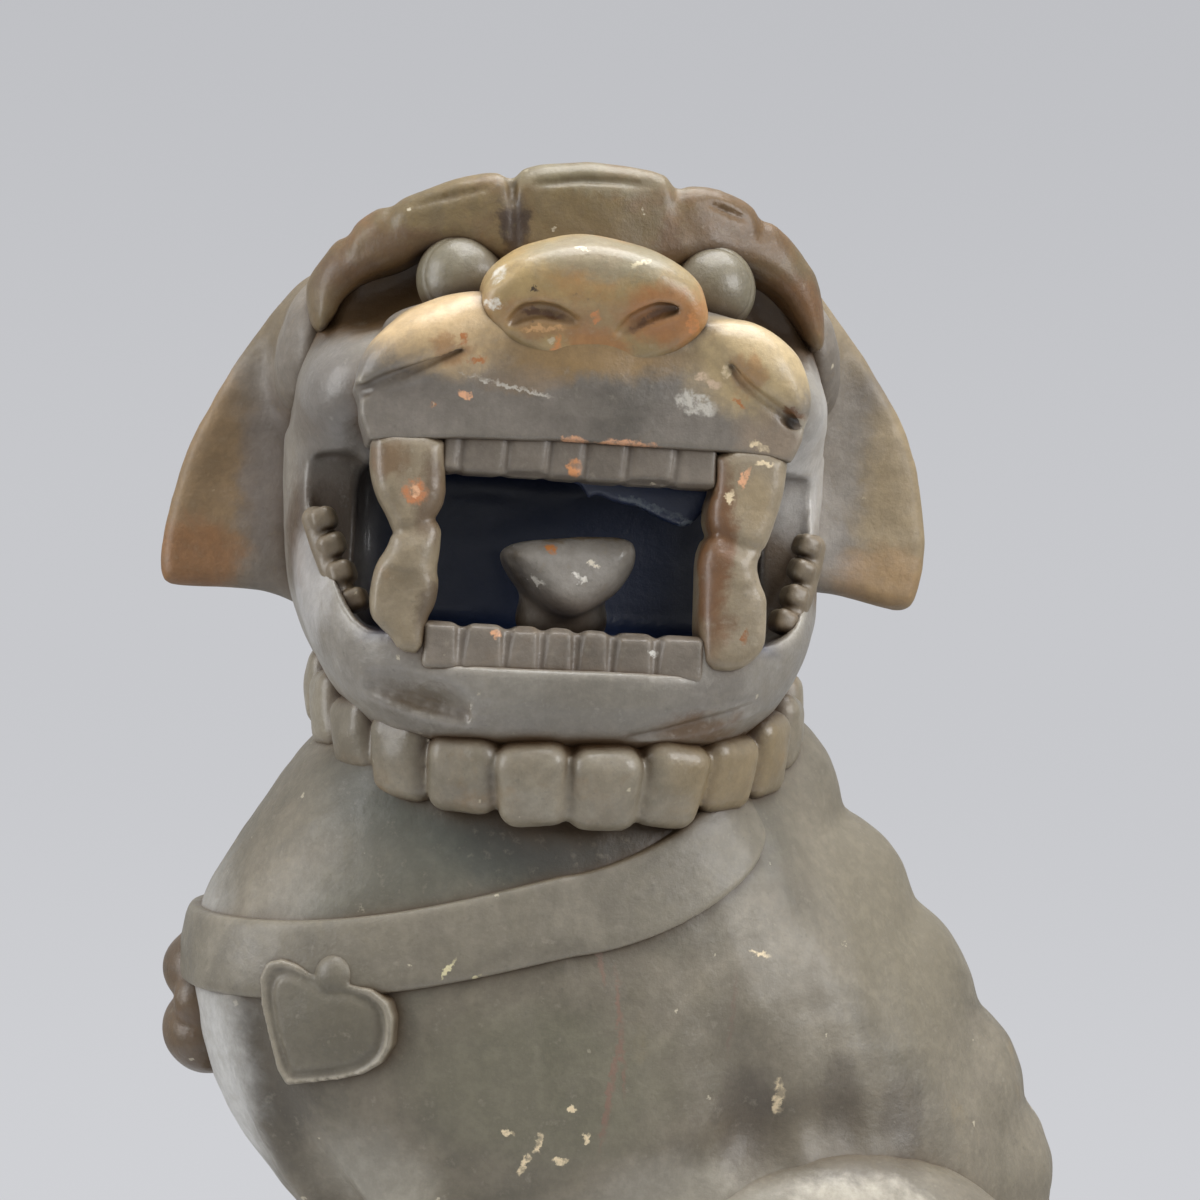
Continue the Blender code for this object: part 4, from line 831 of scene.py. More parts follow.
def makeMuzzle():
    # Flat front of the upper jaw. A swollen lip pad hangs over it at each side, down to a slit.
    block = startBlock((-41, -43, 158), (19, -8, 184), 0.33)
    carve(block, slab(muzzleShape["front"], muzzleShape["face"], -12, 0.6), 0)
    carve(block, egg((headX, -25, 175.5), (23, 12, 5.5)), 2.5)
    for outline, edge in muzzleShape["pads"]:
        carve(block, slab(rounded(outline, 1), muzzleShape["padFace"], -20, edge), 2.2)
    carve(block, egg((-28.8, -32.6, 173.6), (8.2, 5.8, 3.6), (0, -30, 0)), 2.5)
    carve(block, egg((8.6, -32.6, 172.6), (6.0, 5.8, 3.9), (0, 40, 0)), 2.5)
    # swelling that the lower edge of the nose runs out into
    carve(block, egg((-10.6, -32.2, 170.6), (9.2, 5.0, 6.2)), 3.0)
    # slits under the pads
    for line, radii in muzzleShape["slits"]:
        carve(block, rope(rounded(line, 2, False), radii), 0.3, True)
    return carved(
        "upperJaw", block, lipJade, ["muzzle", "lip_pad_left", "lip_pad_right"], "pale_jade", 0.10, 8,
    )


noseShape = {
    "cap": [
        (-23.6, 177.4), (-23.5, 179.0), (-23.1, 180.5), (-21.9, 182.2), (-19.6, 184.1), (-16.9, 185.2),
        (-14.1, 185.9), (-12.0, 186.2), (-9.6, 186.0), (-6.2, 185.3), (-3.0, 184.2), (-0.4, 182.4),
        (1.3, 180.6), (2.2, 178.4), (1.7, 176.8), (0.2, 175.0), (-1.7, 173.4), (-4.2, 172.0), (-7.2, 171.2),
        (-10.6, 171.0), (-14.4, 171.6), (-18.0, 172.8), (-20.6, 174.2), (-22.4, 175.6),
    ],
    "nostrils": (
        [(-20.2, -37.8, 175.7), (-18.6, -38.6, 176.9), (-15.8, -38.8, 177.0), (-13.2, -38.4, 176.1)],
        [(-8.0, -37.9, 175.1), (-6.4, -38.7, 176.5), (-4.2, -39.1, 177.7), (-1.9, -38.6, 178.2)],
    ),
    "brokenEdge": (
        (-24.2, -38.4, 178.8), (-22.8, -39.8, 180.4), (-20.8, -40.4, 182.0), (-19.0, -40.6, 183.0),
    ),
    "lean": 24,  # degrees that the cap is tipped back
}


def makeNose():
    # Broad cap that overhangs at the top and runs out into the flat of the muzzle at its lower edge.
    block = startBlock((-27, -47, 168), (6, -22, 190), 0.3)
    lean = noseShape["lean"]
    # seen from the front, the tipped cap has to be as tall as its outline
    cap = [(x, (z - 178.0) * 0.95) for x, z in noseShape["cap"]]
    carve(block, slab(rounded(cap, 1), -4.0, 4.5, 2.2, (0, -34.8, 178.2), (lean, 0, 0)), 0)
    carve(block, egg((-10.6, -36.2, 180.4), (11.4, 4.4, 4.0), (lean, 0, 0)), 2.0)
    # nostrils: shallow crescents
    for line in noseShape["nostrils"]:
        carve(block, rope(rounded(line, 2, False), (0.4, 1.05, 1.05, 0.4)), 0.5, True)
    # broken edge at the upper left
    carve(block, rope(noseShape["brokenEdge"], (0.8, 1.5, 1.3, 0.5)), 0.25, True)
    carve(block, egg((-22.3, -39.4, 177.5), (1.1, 0.8, 0.6), (0, 20, 0)), 0.2, True)
    return carved("noseCap", block, noseJade, ["nose"], "stained_jade", 0.08, 11)


browShape = {
    "top": [
        (-42.9, 180.8), (-42.5, 182.6), (-40.9, 185.0), (-38.9, 187.5), (-36.3, 189.4), (-33.9, 191.0),
        (-33.2, 190.9), (-30.1, 192.4), (-26.7, 193.6), (-23.7, 194.4), (-21.4, 194.5), (-20.4, 194.3),
        (-17.9, 195.5), (-12.5, 196.2), (-6.7, 196.2), (-2.8, 195.9), (-0.4, 194.9), (0.6, 194.5),
        (4.0, 194.6), (7.1, 194.0), (9.7, 192.7), (10.4, 192.2), (13.2, 190.6), (15.7, 188.4), (16.4, 187.4),
        (18.2, 185.6),
    ],
    "low": [
        (19.6, 181.4), (19.6, 177.0), (17.6, 177.2), (15.4, 180.6), (12.8, 183.4), (9.4, 184.8), (5.7, 185.6),
        (2.8, 185.4), (-1.0, 184.2), (-8.0, 183.6), (-13.8, 183.8), (-20.8, 184.0), (-23.2, 185.0),
        (-26.1, 185.6), (-29.5, 185.0), (-32.0, 183.6), (-35.8, 182.2), (-38.6, 179.8), (-39.4, 177.6),
        (-40.8, 175.7), (-42.3, 177.0),
    ],
    "front": -28.6, "bend": 0.0100,
    "groove": ((-19.2, 184.0), (-19.5, 187.5, -0.2), (-19.8, 190.6), (-19.9, 193.0, 1.2)),
    # place on the top edge, and size
    "notches": (
        (-38.9, 188.4, 0.35), (-33.8, 191.8, 0.4), (-0.4, 195.4, 0.4), (10.6, 193.0, 0.35),
        (-20.0, 195.2, 0.35),
    ),
    "bevels": (
        [(-31.8, 190.0), (-27, 191.3), (-22.4, 192.3)], [(-17.4, 192.9), (-11, 193.9), (-3.4, 193.7)],
        [(3.0, 192.3), (8.2, 191.0)],
    ),
}


def makeBrow():
    # Thick rolled fringe, set back to both sides. Its locks are parted by short soft notches.
    block = startBlock((-48, -33, 170), (24, 4, 199), 0.38)
    front, bend = browShape["front"], browShape["bend"]

    def onFront(x, z, inset=0.0):
        return (x, front + inset + bend * (x - headX) ** 2, z)

    carve(block, slab(rounded(browShape["top"] + browShape["low"], 1), front, -6.0, 2.6, bend=bend), 0)
    # vertical groove on the right of the middle lock, and the notches
    groove = [onFront(*point) for point in browShape["groove"]]
    carve(block, rope(rounded(groove, 2, False), (0.42, 0.5, 0.4, 0.2)), 0.5, True)
    for x, z, size in browShape["notches"]:
        line = [onFront(x, z - 3.6, -0.3), onFront(x, z - 0.9, 1.0), (x, -14.0, z + 0.3)]
        carve(block, rope(line, (0.25 * size, 0.8 * size, 0.8 * size)), 1.8, True)
    # thin bevel that runs under the top edge
    for path in browShape["bevels"]:
        line = [onFront(x, z, 0.15) for x, z in path]
        carve(block, rope(rounded(line, 2, False), (0.1, 0.42, 0.1)), 0.5, True)
    return carved("brow", block, browJade, ["brow_fringe"], "stained_jade", 0.14, 14)


eyeShape = {"radius": 5.4, "ringAngle": 1.02, "ringWidth": 0.045}  # angles in radians from straight ahead


def makeEye(name, centre, node, ringDepth):
    # A ball: radius times (sin, cos) of two angles, with a fine ring ground into it round its front.
    rows, columns = 72, 96
    tilt = np.linspace(0, math.pi, rows)[:, None]
    turn = np.linspace(0, 2 * math.pi, columns, endpoint=False)[None, :]
    ring = np.exp(-(((tilt - eyeShape["ringAngle"]) / eyeShape["ringWidth"]) ** 2))
    radius = eyeShape["radius"] - ringDepth * ring + 0 * turn
    aside = radius * np.sin(tilt)
    ball = np.stack([aside * np.cos(turn), -radius * np.cos(tilt), aside * np.sin(turn)], -1)
    verts = ball.reshape(-1, 3) + np.array(centre)
    faces = gridFaces(rows, columns)[:, ::-1]
    verts, faces = weld(verts, faces, rows, columns)
    return makePiece(name, verts, faces, eyeJade, [node], "pale_jade")


def weld(verts, faces, rows, columns):
    # Closes the two poles of a grid: all the points of its first row become one, and of its last.
    index = np.arange(rows * columns)
    index[:columns] = 0
    index[-columns:] = (rows - 1) * columns
    used = np.unique(index)
    compact = np.full(rows * columns, -1)
    compact[used] = np.arange(len(used))
    return verts[used], compact[index[faces]]


earShape = {
    "right": [
        (-38, 188.2), (-42.8, 185.0), (-46.2, 181.4), (-49.9, 176.6), (-53.8, 170.4), (-57.0, 163.2),
        (-59.1, 156.3), (-60.0, 149.7), (-59.8, 146.2), (-58.5, 145.4), (-55.0, 145.5), (-49.4, 145.4),
        (-45.6, 145.2), (-40.0, 142.8), (-36, 144), (-34, 165),
    ],
    "left": [
        (16.0, 190.0), (21.9, 188.8), (25.8, 183.8), (30.4, 178.6), (34.0, 173.7), (37.4, 167.0),
        (39.3, 158.2), (39.3, 151.8), (38.2, 147.2), (36.8, 146.4), (35.0, 146.6), (28.9, 148.0),
        (22.9, 148.6), (17, 147), (12, 165),
    ],
    "halfThick": 2.4, "rim": 2.1, "turned": 8.0,
}


def makeEar(name, outline, node, side):
    # Hanging flap, rounded at its rim, with a shallow hollow down the middle of its front.
    low, high = np.array(outline).min(0), np.array(outline).max(0)
    block = startBlock((low[0] - 3, -20, low[1] - 3), (high[0] + 3, 13, high[1] + 3), 0.45)
    shape = rounded(outline, 2) - (headX, 0)
    half, rim, turned = (earShape[key] for key in ("halfThick", "rim", "turned"))
    carve(block, slab(shape, -half, half, rim, (headX, 0, 0), (0, 0, side * turned)), 0)
    carve(block, egg((headX + side * 38.5, -2.0, 164), (8.0, 5.6, 17), (0, side * -14, 0)), 3.0, True)
    # swelling at the root, which runs out towards the brow
    carve(block, egg((headX + side * 30.8, -2.0, high[1] - 12.5), (4.4, 11.5, 8.5), (0, side * -10, 0)), 4.5)
    return carved(name, block, earJade, [node], "stained_jade", 0.16, 17)


fangShape = {
    # outlines of the upper and the lower fang
    "right": (
        [
            (-34.9, 163.5), (-34.9, 160.2), (-34.6, 158.1), (-34.0, 155.9), (-32.8, 153.8), (-31.9, 151.9),
            (-29.6, 151.4), (-27.6, 153.4), (-26.3, 155.9), (-26.4, 159.0), (-26.8, 163.5),
        ],
        [
            (-32.1, 152.0), (-32.6, 150.2), (-33.5, 148.7), (-34.0, 147.1), (-34.3, 144.3), (-34.1, 142.4),
            (-33.1, 141.3), (-31.9, 140.3), (-30.8, 138.8), (-28.3, 138.4), (-27.9, 142.3), (-27.0, 143.9),
            (-26.6, 146.4), (-27.0, 147.9), (-26.8, 150.1), (-26.7, 153.0), (-28.6, 154.0),
        ],
    ),
    "left": (
        [
            (12.2, 163.5), (12.2, 159.4), (12.0, 158.1), (11.5, 156.0), (10.9, 153.7), (9.9, 151.6),
            (7.2, 151.0), (4.6, 152.6), (3.4, 154.4), (3.4, 157.0), (4.0, 158.5), (3.9, 163.5),
        ],
        [
            (9.9, 151.8), (9.2, 150.2), (9.7, 148.1), (10.6, 146.5), (10.7, 145.0), (10.7, 142.9),
            (10.6, 141.0), (9.6, 139.5), (7.5, 138.0), (3.7, 137.9), (3.1, 141.4), (2.9, 143.0), (2.8, 146.8),
            (2.7, 150.6), (3.6, 153.3), (6.0, 153.6),
        ],
    ),
    "frontUpper": -36.0, "frontLower": -36.3, "back": -27, "edgeUpper": 2.2, "edgeLower": 2.6,
}


def makeFang(name, upper, lower, node, side):
    # Upper fang that comes down over the tip of the lower one. Both swell to the front and thin sideways.
    points = np.vstack([upper, lower])
    low, high = points.min(0) - 2, points.max(0) + 2
    block = startBlock((low[0], -41, low[1]), (high[0], -24, high[1]), 0.28)
    shape = fangShape
    carve(block, slab(rounded(lower, 1), shape["frontLower"], shape["back"], shape["edgeLower"]), 0)
    carve(block, slab(rounded(upper, 1), shape["frontUpper"], shape["back"], shape["edgeUpper"]), 0.6)
    x, z = points.mean(0)
    # crease of the waist, deepest on the outer side, and the facet ground on the lower fang
    waist = [(x + side * 6, -37.2, z - 0.4), (x - side * 1, -37.0, z + 1.6), (x - side * 5, -36.2, z + 2.4)]
    carve(block, rope(waist, (1.5, 0.9, 0.3)), 1.0, True)
    facet = brick((x + side * 0.4, -38.6, z - 8.5), (3.6, 3.0, 5.5), 0.4, (6, side * -8, side * 10))
    carve(block, facet, 0.8, True)
    return carved(name, block, fangJade, [node], "stained_jade", 0.12, 21, 1)


teethShape = {
    # edges: where each tooth begins in X; levels: lower and upper end at the left and at the right of the row
    # groove: half width of the grooves, positive where the teeth bite upwards; skew: how far they lean
    # bevel: slope of the biting edge in degrees
    "upper": {
        "edges": (-27.0, -24.9, -19.8, -15.0, -10.9, -6.1, -0.6, 4.2), "levels": (158.9, 158.4, 163.9, 163.4),
        "front": -34.9, "back": -29.5, "bevel": 34, "groove": -0.42, "skew": -0.25,
    },
    "lower": {
        "edges": (-28.2, -24.0, -18.9, -14.9, -11.0, -6.9, -1.9, 3.5), "levels": (137.0, 136.4, 142.3, 141.7),
        "front": -35.0, "back": -30.7, "bevel": 34, "groove": 0.74, "skew": 0.15,
    },
}


def toothRow(name, node, edges, levels, front, back, bevel, groove, skew):
    # Square teeth from one bar of stone: narrow grooves part them, and each is bevelled at its biting edge.
    block = startBlock(
        (edges[0] - 2, front - 1.5, min(levels) - 1.5), (edges[-1] + 2, back + 1, max(levels) + 1.5), 0.2,
    )
    spanX = edges[-1] - edges[0]
    biting = 1 if groove > 0 else -1
    groove = abs(groove)
    root, tip = (0, 2) if biting > 0 else (2, 0)

    def level(x, end):
        # Height of the row's lower end, 0, or upper end, 2, at a place along it.
        return levels[end] + (levels[end + 1] - levels[end]) * ((x - edges[0]) / spanX)

    middle = ((edges[0] + edges[-1]) / 2, (front + back) / 2, sum(levels) / 4)
    half = (spanX / 2, (back - front) / 2, (levels[2] - levels[0]) / 2)
    slope = math.degrees(math.atan2(levels[0] - levels[1], spanX))
    carve(block, brick(middle, half, 0.7, (0, slope, 0)), 0)
    for x in edges[1:-1]:
        line = [
            (x - skew, front - 0.1, level(x, root) - biting), (x + skew, front - 0.1, level(x, tip) + biting),
        ]
        carve(block, rope(line, (0.36, groove * 1.25)), 0.45, True)
        z = level(x, tip) + biting * 0.5
        carve(block, rope([(x + skew, front - 0.4, z), (x + skew, back + 1, z)], groove * 1.3), 0.6, True)
    for i, (a, b) in enumerate(zip(edges[:-1], edges[1:])):
        x = (a + b) / 2
        z = level(x, tip) + biting * (0.5 + 0.25 * math.sin(i * 2.1))
        edge = brick((x, front - 1.35, z), ((b - a) / 2 + 0.1, 1.7, 1.7), 0.1, (biting * bevel, 0, 0))
        carve(block, edge, 0.2, True)
    return carved(name, block, toothJade, [node], "pale_jade", 0.09, 25, 1)


molarShape = {
    "right": ((-39.6, -20.6, 153.6), (-38.5, -21.6, 150.6), (-37.2, -22.8, 147.4), (-35.6, -24.4, 144.3)),
    "left": ((17.6, -20.6, 153.2), (16.9, -21.6, 150.2), (15.9, -22.8, 147.0), (14.4, -24.4, 144.0)),
    "half": (1.4, 1.8, 1.35), "edge": 0.9, "strip": 1.5,
}


def makeMolars(name, places, node):
    # Small teeth ground into a strip of stone that climbs along the inside of the cheek.
    points = np.array(places)
    block = startBlock(points.min(0) - 4.0, points.max(0) + 4.0, 0.25)
    outward = -1 if points[0][0] < headX else 1
    slope = math.degrees(math.atan2(points[0][0] - points[-1][0], points[0][2] - points[-1][2]))
    wide, deep, high = molarShape["half"]
    for i, place in enumerate(places):
        half = (wide, deep, high + 0.12 * math.sin(i * 3.1))
        turn = (9 * math.sin(i * 2.0), slope, outward * 14)
        carve(block, brick(place, half, molarShape["edge"], turn), 0.5)
    carve(block, rope(points + np.array([outward * 1.1, 1.0, 0]), molarShape["strip"]), 0.6)
    return carved(name, block, molarJade, [node], "pale_jade", 0.08, 27, 1)


tongueShape = {
    "outline": [
        (-18.7, 151.4), (-16.4, 152.1), (-12.5, 152.6), (-9.1, 152.9), (-4.4, 152.8), (-3.5, 151.4),
        (-3.7, 149.2), (-5.2, 146.8), (-7.5, 144.8), (-10.3, 143.3), (-13.1, 143.6), (-15.8, 145.6),
        (-17.6, 147.9), (-18.9, 150.0),
    ],
    "front": -29.2, "back": -14, "edge": 3.6,
}


def makeTongue():
    # Boulder of stone with a flat lit front, a thin bevel along its top and a rounded keel, on a low stalk.
    block = startBlock((-23, -33, 139), (1, -8, 156), 0.3)
    outline, front, back, edge = (tongueShape[key] for key in ("outline", "front", "back", "edge"))
    carve(block, slab(rounded(outline, 2), front, back, edge), 0)
    carve(block, brick((headX, -32.0, 155.0), (12, 4, 2.9), 0.4, (-34, 0, 0)), 0.5, True)
    carve(block, brick((-6.0, -32.6, 145.0), (5.0, 3.5, 4.0), 0.4, (20, 30, 20)), 0.6, True)
    carve(block, egg((headX, -17, 143.5), (5.5, 7, 4.5)), 1.5)
    return carved("tongueStone", block, tongueJade, ["tongue"], "pale_jade", 0.14, 29)


makeSkull()
makeMuzzle()
makeNose()
makeBrow()
makeEye("eyeRight", (-24.9, -23.0, 182.2), "eye_right", 0.10)
makeEye("eyeLeft", (4.2, -23.6, 182.6), "eye_left", 0.16)
makeEar("earRight", earShape["right"], "ear_right", -1)
makeEar("earLeft", earShape["left"], "ear_left", 1)
makeFang("fangRight", *fangShape["right"], "fang_pillar_right", -1)
makeFang("fangLeft", *fangShape["left"], "fang_pillar_left", 1)
toothRow("teethUpper", "upper_teeth", **teethShape["upper"])
toothRow("teethLower", "lower_teeth", **teethShape["lower"])
makeMolars("molarsRight", molarShape["right"], "molars_right")
makeMolars("molarsLeft", molarShape["left"], "molars_left")
makeTongue()


torsoShape = {
    # height, half width, chest and rump, all as shares of the sizes below
    "rows": (
        (0.008, 0.58, -0.08, 0.80), (0.083, 0.70, 0.04, 0.92), (0.200, 0.81, 0.22, 0.99),
        (0.317, 0.89, 0.49, 1.0), (0.417, 0.95, 0.72, 0.98), (0.517, 1.0, 0.90, 0.92),
        (0.617, 1.0, 0.985, 0.82), (0.683, 0.985, 1.0, 0.73), (0.750, 0.95, 0.955, 0.61),
        (0.817, 0.90, 0.865, 0.48), (0.875, 0.84, 0.78, 0.37), (0.925, 0.77, 0.69, 0.28),
        (1.0, 0.70, 0.63, 0.20),
    ),
    "height": 120.0, "width": 31.0, "chest": 53.3, "rump": 53.5, "floor": 20.0, "squareness": 2.4,
}
torsoSizes = [torsoShape[key] for key in ("height", "width", "chest", "rump")]
torsoRows = np.array(torsoShape["rows"]) * torsoSizes * (1, 1, -1, 1) + (torsoShape["floor"], 0, 0, 0)


def torsoPoint(height, azimuth, proud=0.0):
    # Point of the torso's skin at a height and an azimuth in degrees, 0 at the rump and 180 at the chest:
    # a superellipse of the section's half sizes, grown by proud.
    half, front, back = readRows(torsoRows, np.asarray(height, float))
    a = np.radians(azimuth)
    c, s = np.cos(a), np.sin(a)
    power = 2 / torsoShape["squareness"]
    x = (front + back) / 2 + np.sign(c) * np.abs(c) ** power * ((back - front) / 2 + proud)
    y = np.sign(s) * np.abs(s) ** power * (half + proud)
    return np.stack([x, y, np.asarray(height, float) + 0 * x], -1)


spineShape = {
    # notches between the scallops of the back, in X and Z
    "notches": (
        (19.6, 133.6), (27.5, 121.0), (37.2, 109.8), (45.7, 96.9), (52.3, 84.8), (56.3, 72.2), (57.0, 60.0),
    ),
    "rise": 2.1,  # of a scallop over the line between its notches
    "depth": 9.0,
    "width": 12.0,  # half of it, from side to side
}


flankShape = {
    "groove": (24.6, 33.5, 51.6, 34.4, 33.4),  # round the haunch: centre, and radii along X and Z
    "grooveAngles": (35, 205),
    # upper and lower end in X, the same in Z, radius, and shift sideways
    "flutes": (
        (9, 13, 99, 86, 3.4, 0), (22, 23.5, 100, 87, 3.0, 0),
        (31, 31.5, 99, 86, 3.4, 0), (39, 38.5, 95, 83, 3.0, -1.2),
    ),
    "chestEdge": (101, 58),  # heights it runs between
}


def makeTorso():
    # Body with its back's scallops, and on each flank the shoulder, the flutes and the edge of the chest.
    block = startBlock((-60, -38, 18), (62, 38, 144), 0.69)
    carve(block, tower(torsoRows, torsoShape["squareness"], 0.0, "x"), 0)
    # scallops down the back, crisp between each other and soft to the flanks
    notches = np.array(spineShape["notches"])
    scallops = []
    for above, below in zip(notches[:-1], notches[1:]):
        chord = below - above
        out = np.array((-chord[1], chord[0])) / np.linalg.norm(chord)
        middle = (above + below) / 2 + out * (spineShape["rise"] - spineShape["depth"])
        radii = (spineShape["depth"], spineShape["width"], np.linalg.norm(chord) / 2 + 3.4)
        scallops.append(
            egg((middle[0], 0, middle[1]), radii, (0, -math.degrees(math.atan2(out[1], out[0])), 0))
        )
    carve(block, joined(scallops, 1.3), 8.0)
    for side in (-1, 1):
        # shoulder, and the groove that parts the haunch from the belly
        carve(block, egg((-23, side * 21.0, 60), (14, 9.2, 17), (0, 14, 0)), 8.0)
        x, y, z, radiusX, radiusZ = flankShape["groove"]
        angles = np.radians(np.linspace(*flankShape["grooveAngles"], 26))
        line = [(x + radiusX * math.cos(a), side * y, z + radiusZ * math.sin(a)) for a in angles]
        carve(block, rope(line, 3.4), 3.0, True)
        # short deep flutes over the haunch, between the ribs
        for x0, x1, z0, z1, size, shift in flankShape["flutes"]:
            middle = ((x0 + x1) / 2, (z0 + z1) / 2)
            half = float(readRows(torsoRows, np.array([middle[1]]))[0]) + shift
            line = [(x0, half + 3.6, z0), (middle[0], half + 2.0, middle[1]), (x1, half + 0.8, z1)]
            line = [(x, side * y, z) for x, y, z in line]
            carve(block, rope(line, (1.2, size, size + 0.8)), 5.0, True)
        # crisp edge down the front of the chest, with a shallow hollow behind it
        heights = np.linspace(*flankShape["chestEdge"], 12)
        edge = torsoPoint(heights, side * np.linspace(211, 206, 12), -2.2)
        carve(block, rope(edge, 3.0), 1.6)
        hollow = torsoPoint(heights, side * np.linspace(221, 216, 12), 4.4)
        carve(block, rope(hollow, (4.6, 5.4)), 1.2, True)
    return carved("torsoStone", block, bodyJade, ["torso", "spine_ridge"], "jade", 0.18, 31)


def drum(centre, radius, halfDepth, squareness):
    # Round drum about Y: k is the sum of powers of the shares of radius and depth, brought back to a length.
    def field(x, y, z):
        across = np.sqrt((x - centre[0]) ** 2 + (z - centre[2]) ** 2)
        depth = np.abs(y - centre[1])
        k = ((across / radius) ** squareness + (depth / halfDepth) ** squareness) ** (1 / squareness) + 1e-6
        return np.sqrt(across**2 + depth**2) * (1 - 1 / k)

    half = np.array((radius, halfDepth, radius))
    return field, np.array(centre) - half, np.array(centre) + half


haunchShape = {"middle": (24.6, 22.7, 51.8), "radius": 30.9, "halfDepth": 14.0, "squareness": 3.4}


def makeHaunch(name, side, node):
    # Drum of the thigh, domed on its face, with the swelling over the hock.
    block = startBlock((-12, min(side * 8, side * 40), 18), (58, max(side * 8, side * 40), 88), 0.55)
    x, y, z = haunchShape["middle"]
    size = [haunchShape[key] for key in ("radius", "halfDepth", "squareness")]
    carve(block, drum((x, side * y, z), *size), 0)
    carve(block, egg((5, side * 27.5, 33), (13, 8, 11), (0, 30, 0)), 5.0)
    return carved(name, block, bodyJade, [node], "jade", 0.14, 35)


legShape = {
    # elbow and wrist of each leg in X and Z
    "left": ((-32.0, 50.0), (-36.8, 28.7)), "right": ((-32.0, 60.0), (-36.8, 49.4)),
    "shoulder": (-21.0, 62.0), "aside": 20.5, "radii": (12.7, 7.6), "points": 14,
    "locks": ((5, 9.2, 4.4), (7, 8.4, 3.6)),  # point of the middle line, place behind it, size
    "cordRadius": 7.9, "cordThick": 0.8,
}


def makeFrontLeg(name, side, elbow, wrist, node):
    # Bowed leg: its middle line is a curve with one control point at the elbow, and it tapers evenly.
    block = startBlock((-60, min(side * 6, side * 36), 22), (-6, max(side * 6, side * 36), 76), 0.55)
    shoulder, elbow, wrist = (np.array(point) for point in (legShape["shoulder"], elbow, wrist))
    t = np.linspace(0, 1, legShape["points"])[:, None]
    line = (1 - t) ** 2 * shoulder + 2 * t * (1 - t) * elbow + t**2 * wrist
    line = np.column_stack([line[:, 0], np.full(len(t), side * legShape["aside"]), line[:, 1]])
    carve(block, rope(line, legShape["radii"]), 0)
    # locks of fur behind the elbow, and the cord at the wrist
    for at, back, size in legShape["locks"]:
        x, y, z = line[at]
        lock = egg((x + back, y + side * 1.0, z + 1.5), (size * 1.3, size * 0.9, size * 0.7), (0, 40, 0))
        carve(block, lock, 2.0)
    x, y, z = line[-2]
    r = legShape["cordRadius"]
    turns = np.linspace(0, 2 * math.pi, 25)
    cord = [(x + r * math.cos(a), y + r * math.sin(a), z + 1.2 * math.cos(a)) for a in turns]
    carve(block, rope(cord, legShape["cordThick"]), 0.6)
    return carved(name, block, jade, [node], "jade", 0.12, 37)


def makePaw(name, centre, size, node, seed):
    # Pad of the paw, four toes side by side, and a short claw at the end of each.
    length, width, height = size
    x, y, z = centre
    low = (x - length * 0.7, y - width * 0.62, z - 0.5)
    block = startBlock(low, (x + length * 0.68, y + width * 0.62, z + height * 1.15), 0.35)
    pad = egg((x + length * 0.12, y, z + height * 0.5), (length * 0.42, width * 0.47, height * 0.56))
    carve(block, pad, 0)
    toes = 4
    for i in range(toes):
        across = (i - 1.5) * width / toes
        ahead = x - length * (0.20 + 0.05 * math.cos(math.pi * across / width))
        toe = (length * 0.28, width / 8 + 0.25, height * 0.43)
        knuckle = (length * 0.10, width / 15, height * 0.18)
        claw = [
            (ahead - length * back, y + across, z + height * up)
            for back, up in ((0.24, 0.30), (0.29, 0.10))
        ]
        carve(block, egg((ahead, y + across, z + height * 0.44), toe), 0.5)
        carve(block, egg((ahead - length * 0.17, y + across, z + height * 0.62), knuckle, (0, -20, 0)), 0.5)
        carve(block, rope(claw, (1.5, 0.7)), 0.4)
    return carved(name, block, jade, [node], "jade", 0.08, seed)


ballShape = {"middle": (-44.1, 20.5, 32.3), "radius": 12.2, "seamDepth": 0.55, "seamWidth": 0.035}


def makeBall():
    # Brocade ball: a sphere whose radius dips along three sets of great rings, leaving lens-shaped panels.
    rows, columns = 150, 240
    tilt = np.linspace(0, math.pi, rows)[:, None]
    turn = np.linspace(0, 2 * math.pi, columns, endpoint=False)[None, :]
    x, y, z = np.sin(tilt) * np.cos(turn), np.sin(tilt) * np.sin(turn), np.cos(tilt) + 0 * turn
    ways = np.array(
        [(1, 1, 0.4), (-1, 1, 0.4), (1, -0.2, 1), (-1, -0.2, 1), (0.1, 1, -1), (0.1, 0.4, 1.6)], float,
    )
    ways /= np.linalg.norm(ways, axis=1)[:, None]
    dip = 0
    for way in ways:
        off = x * way[0] + y * way[1] + z * way[2]
        dip = np.maximum(dip, np.exp(-((off / ballShape["seamWidth"]) ** 2)))
    radius = ballShape["radius"] - ballShape["seamDepth"] * dip
    verts = np.stack([x * radius, y * radius, z * radius], -1).reshape(-1, 3) + np.array(ballShape["middle"])
    verts, faces = weld(verts, gridFaces(rows, columns), rows, columns)
    return makePiece("brocadeBall", verts, faces, jade, ["brocade_ball"], "jade")


tailShape = {
    # place across at root and tip, height of the tip, thickness, and how far it swells out
    "middle": (0, 0, 72, 5.2, 5.0), "locks": ((5.2, 6.5, 60, 4.4, 3.0), (8.4, 10.5, 48, 3.4, 1.5)),
    "root": 24, "curlAt": (54.5, 7.6, 37), "curlRadius": 5.2, "curlTurns": 1.1, "curlPoints": 30,
}


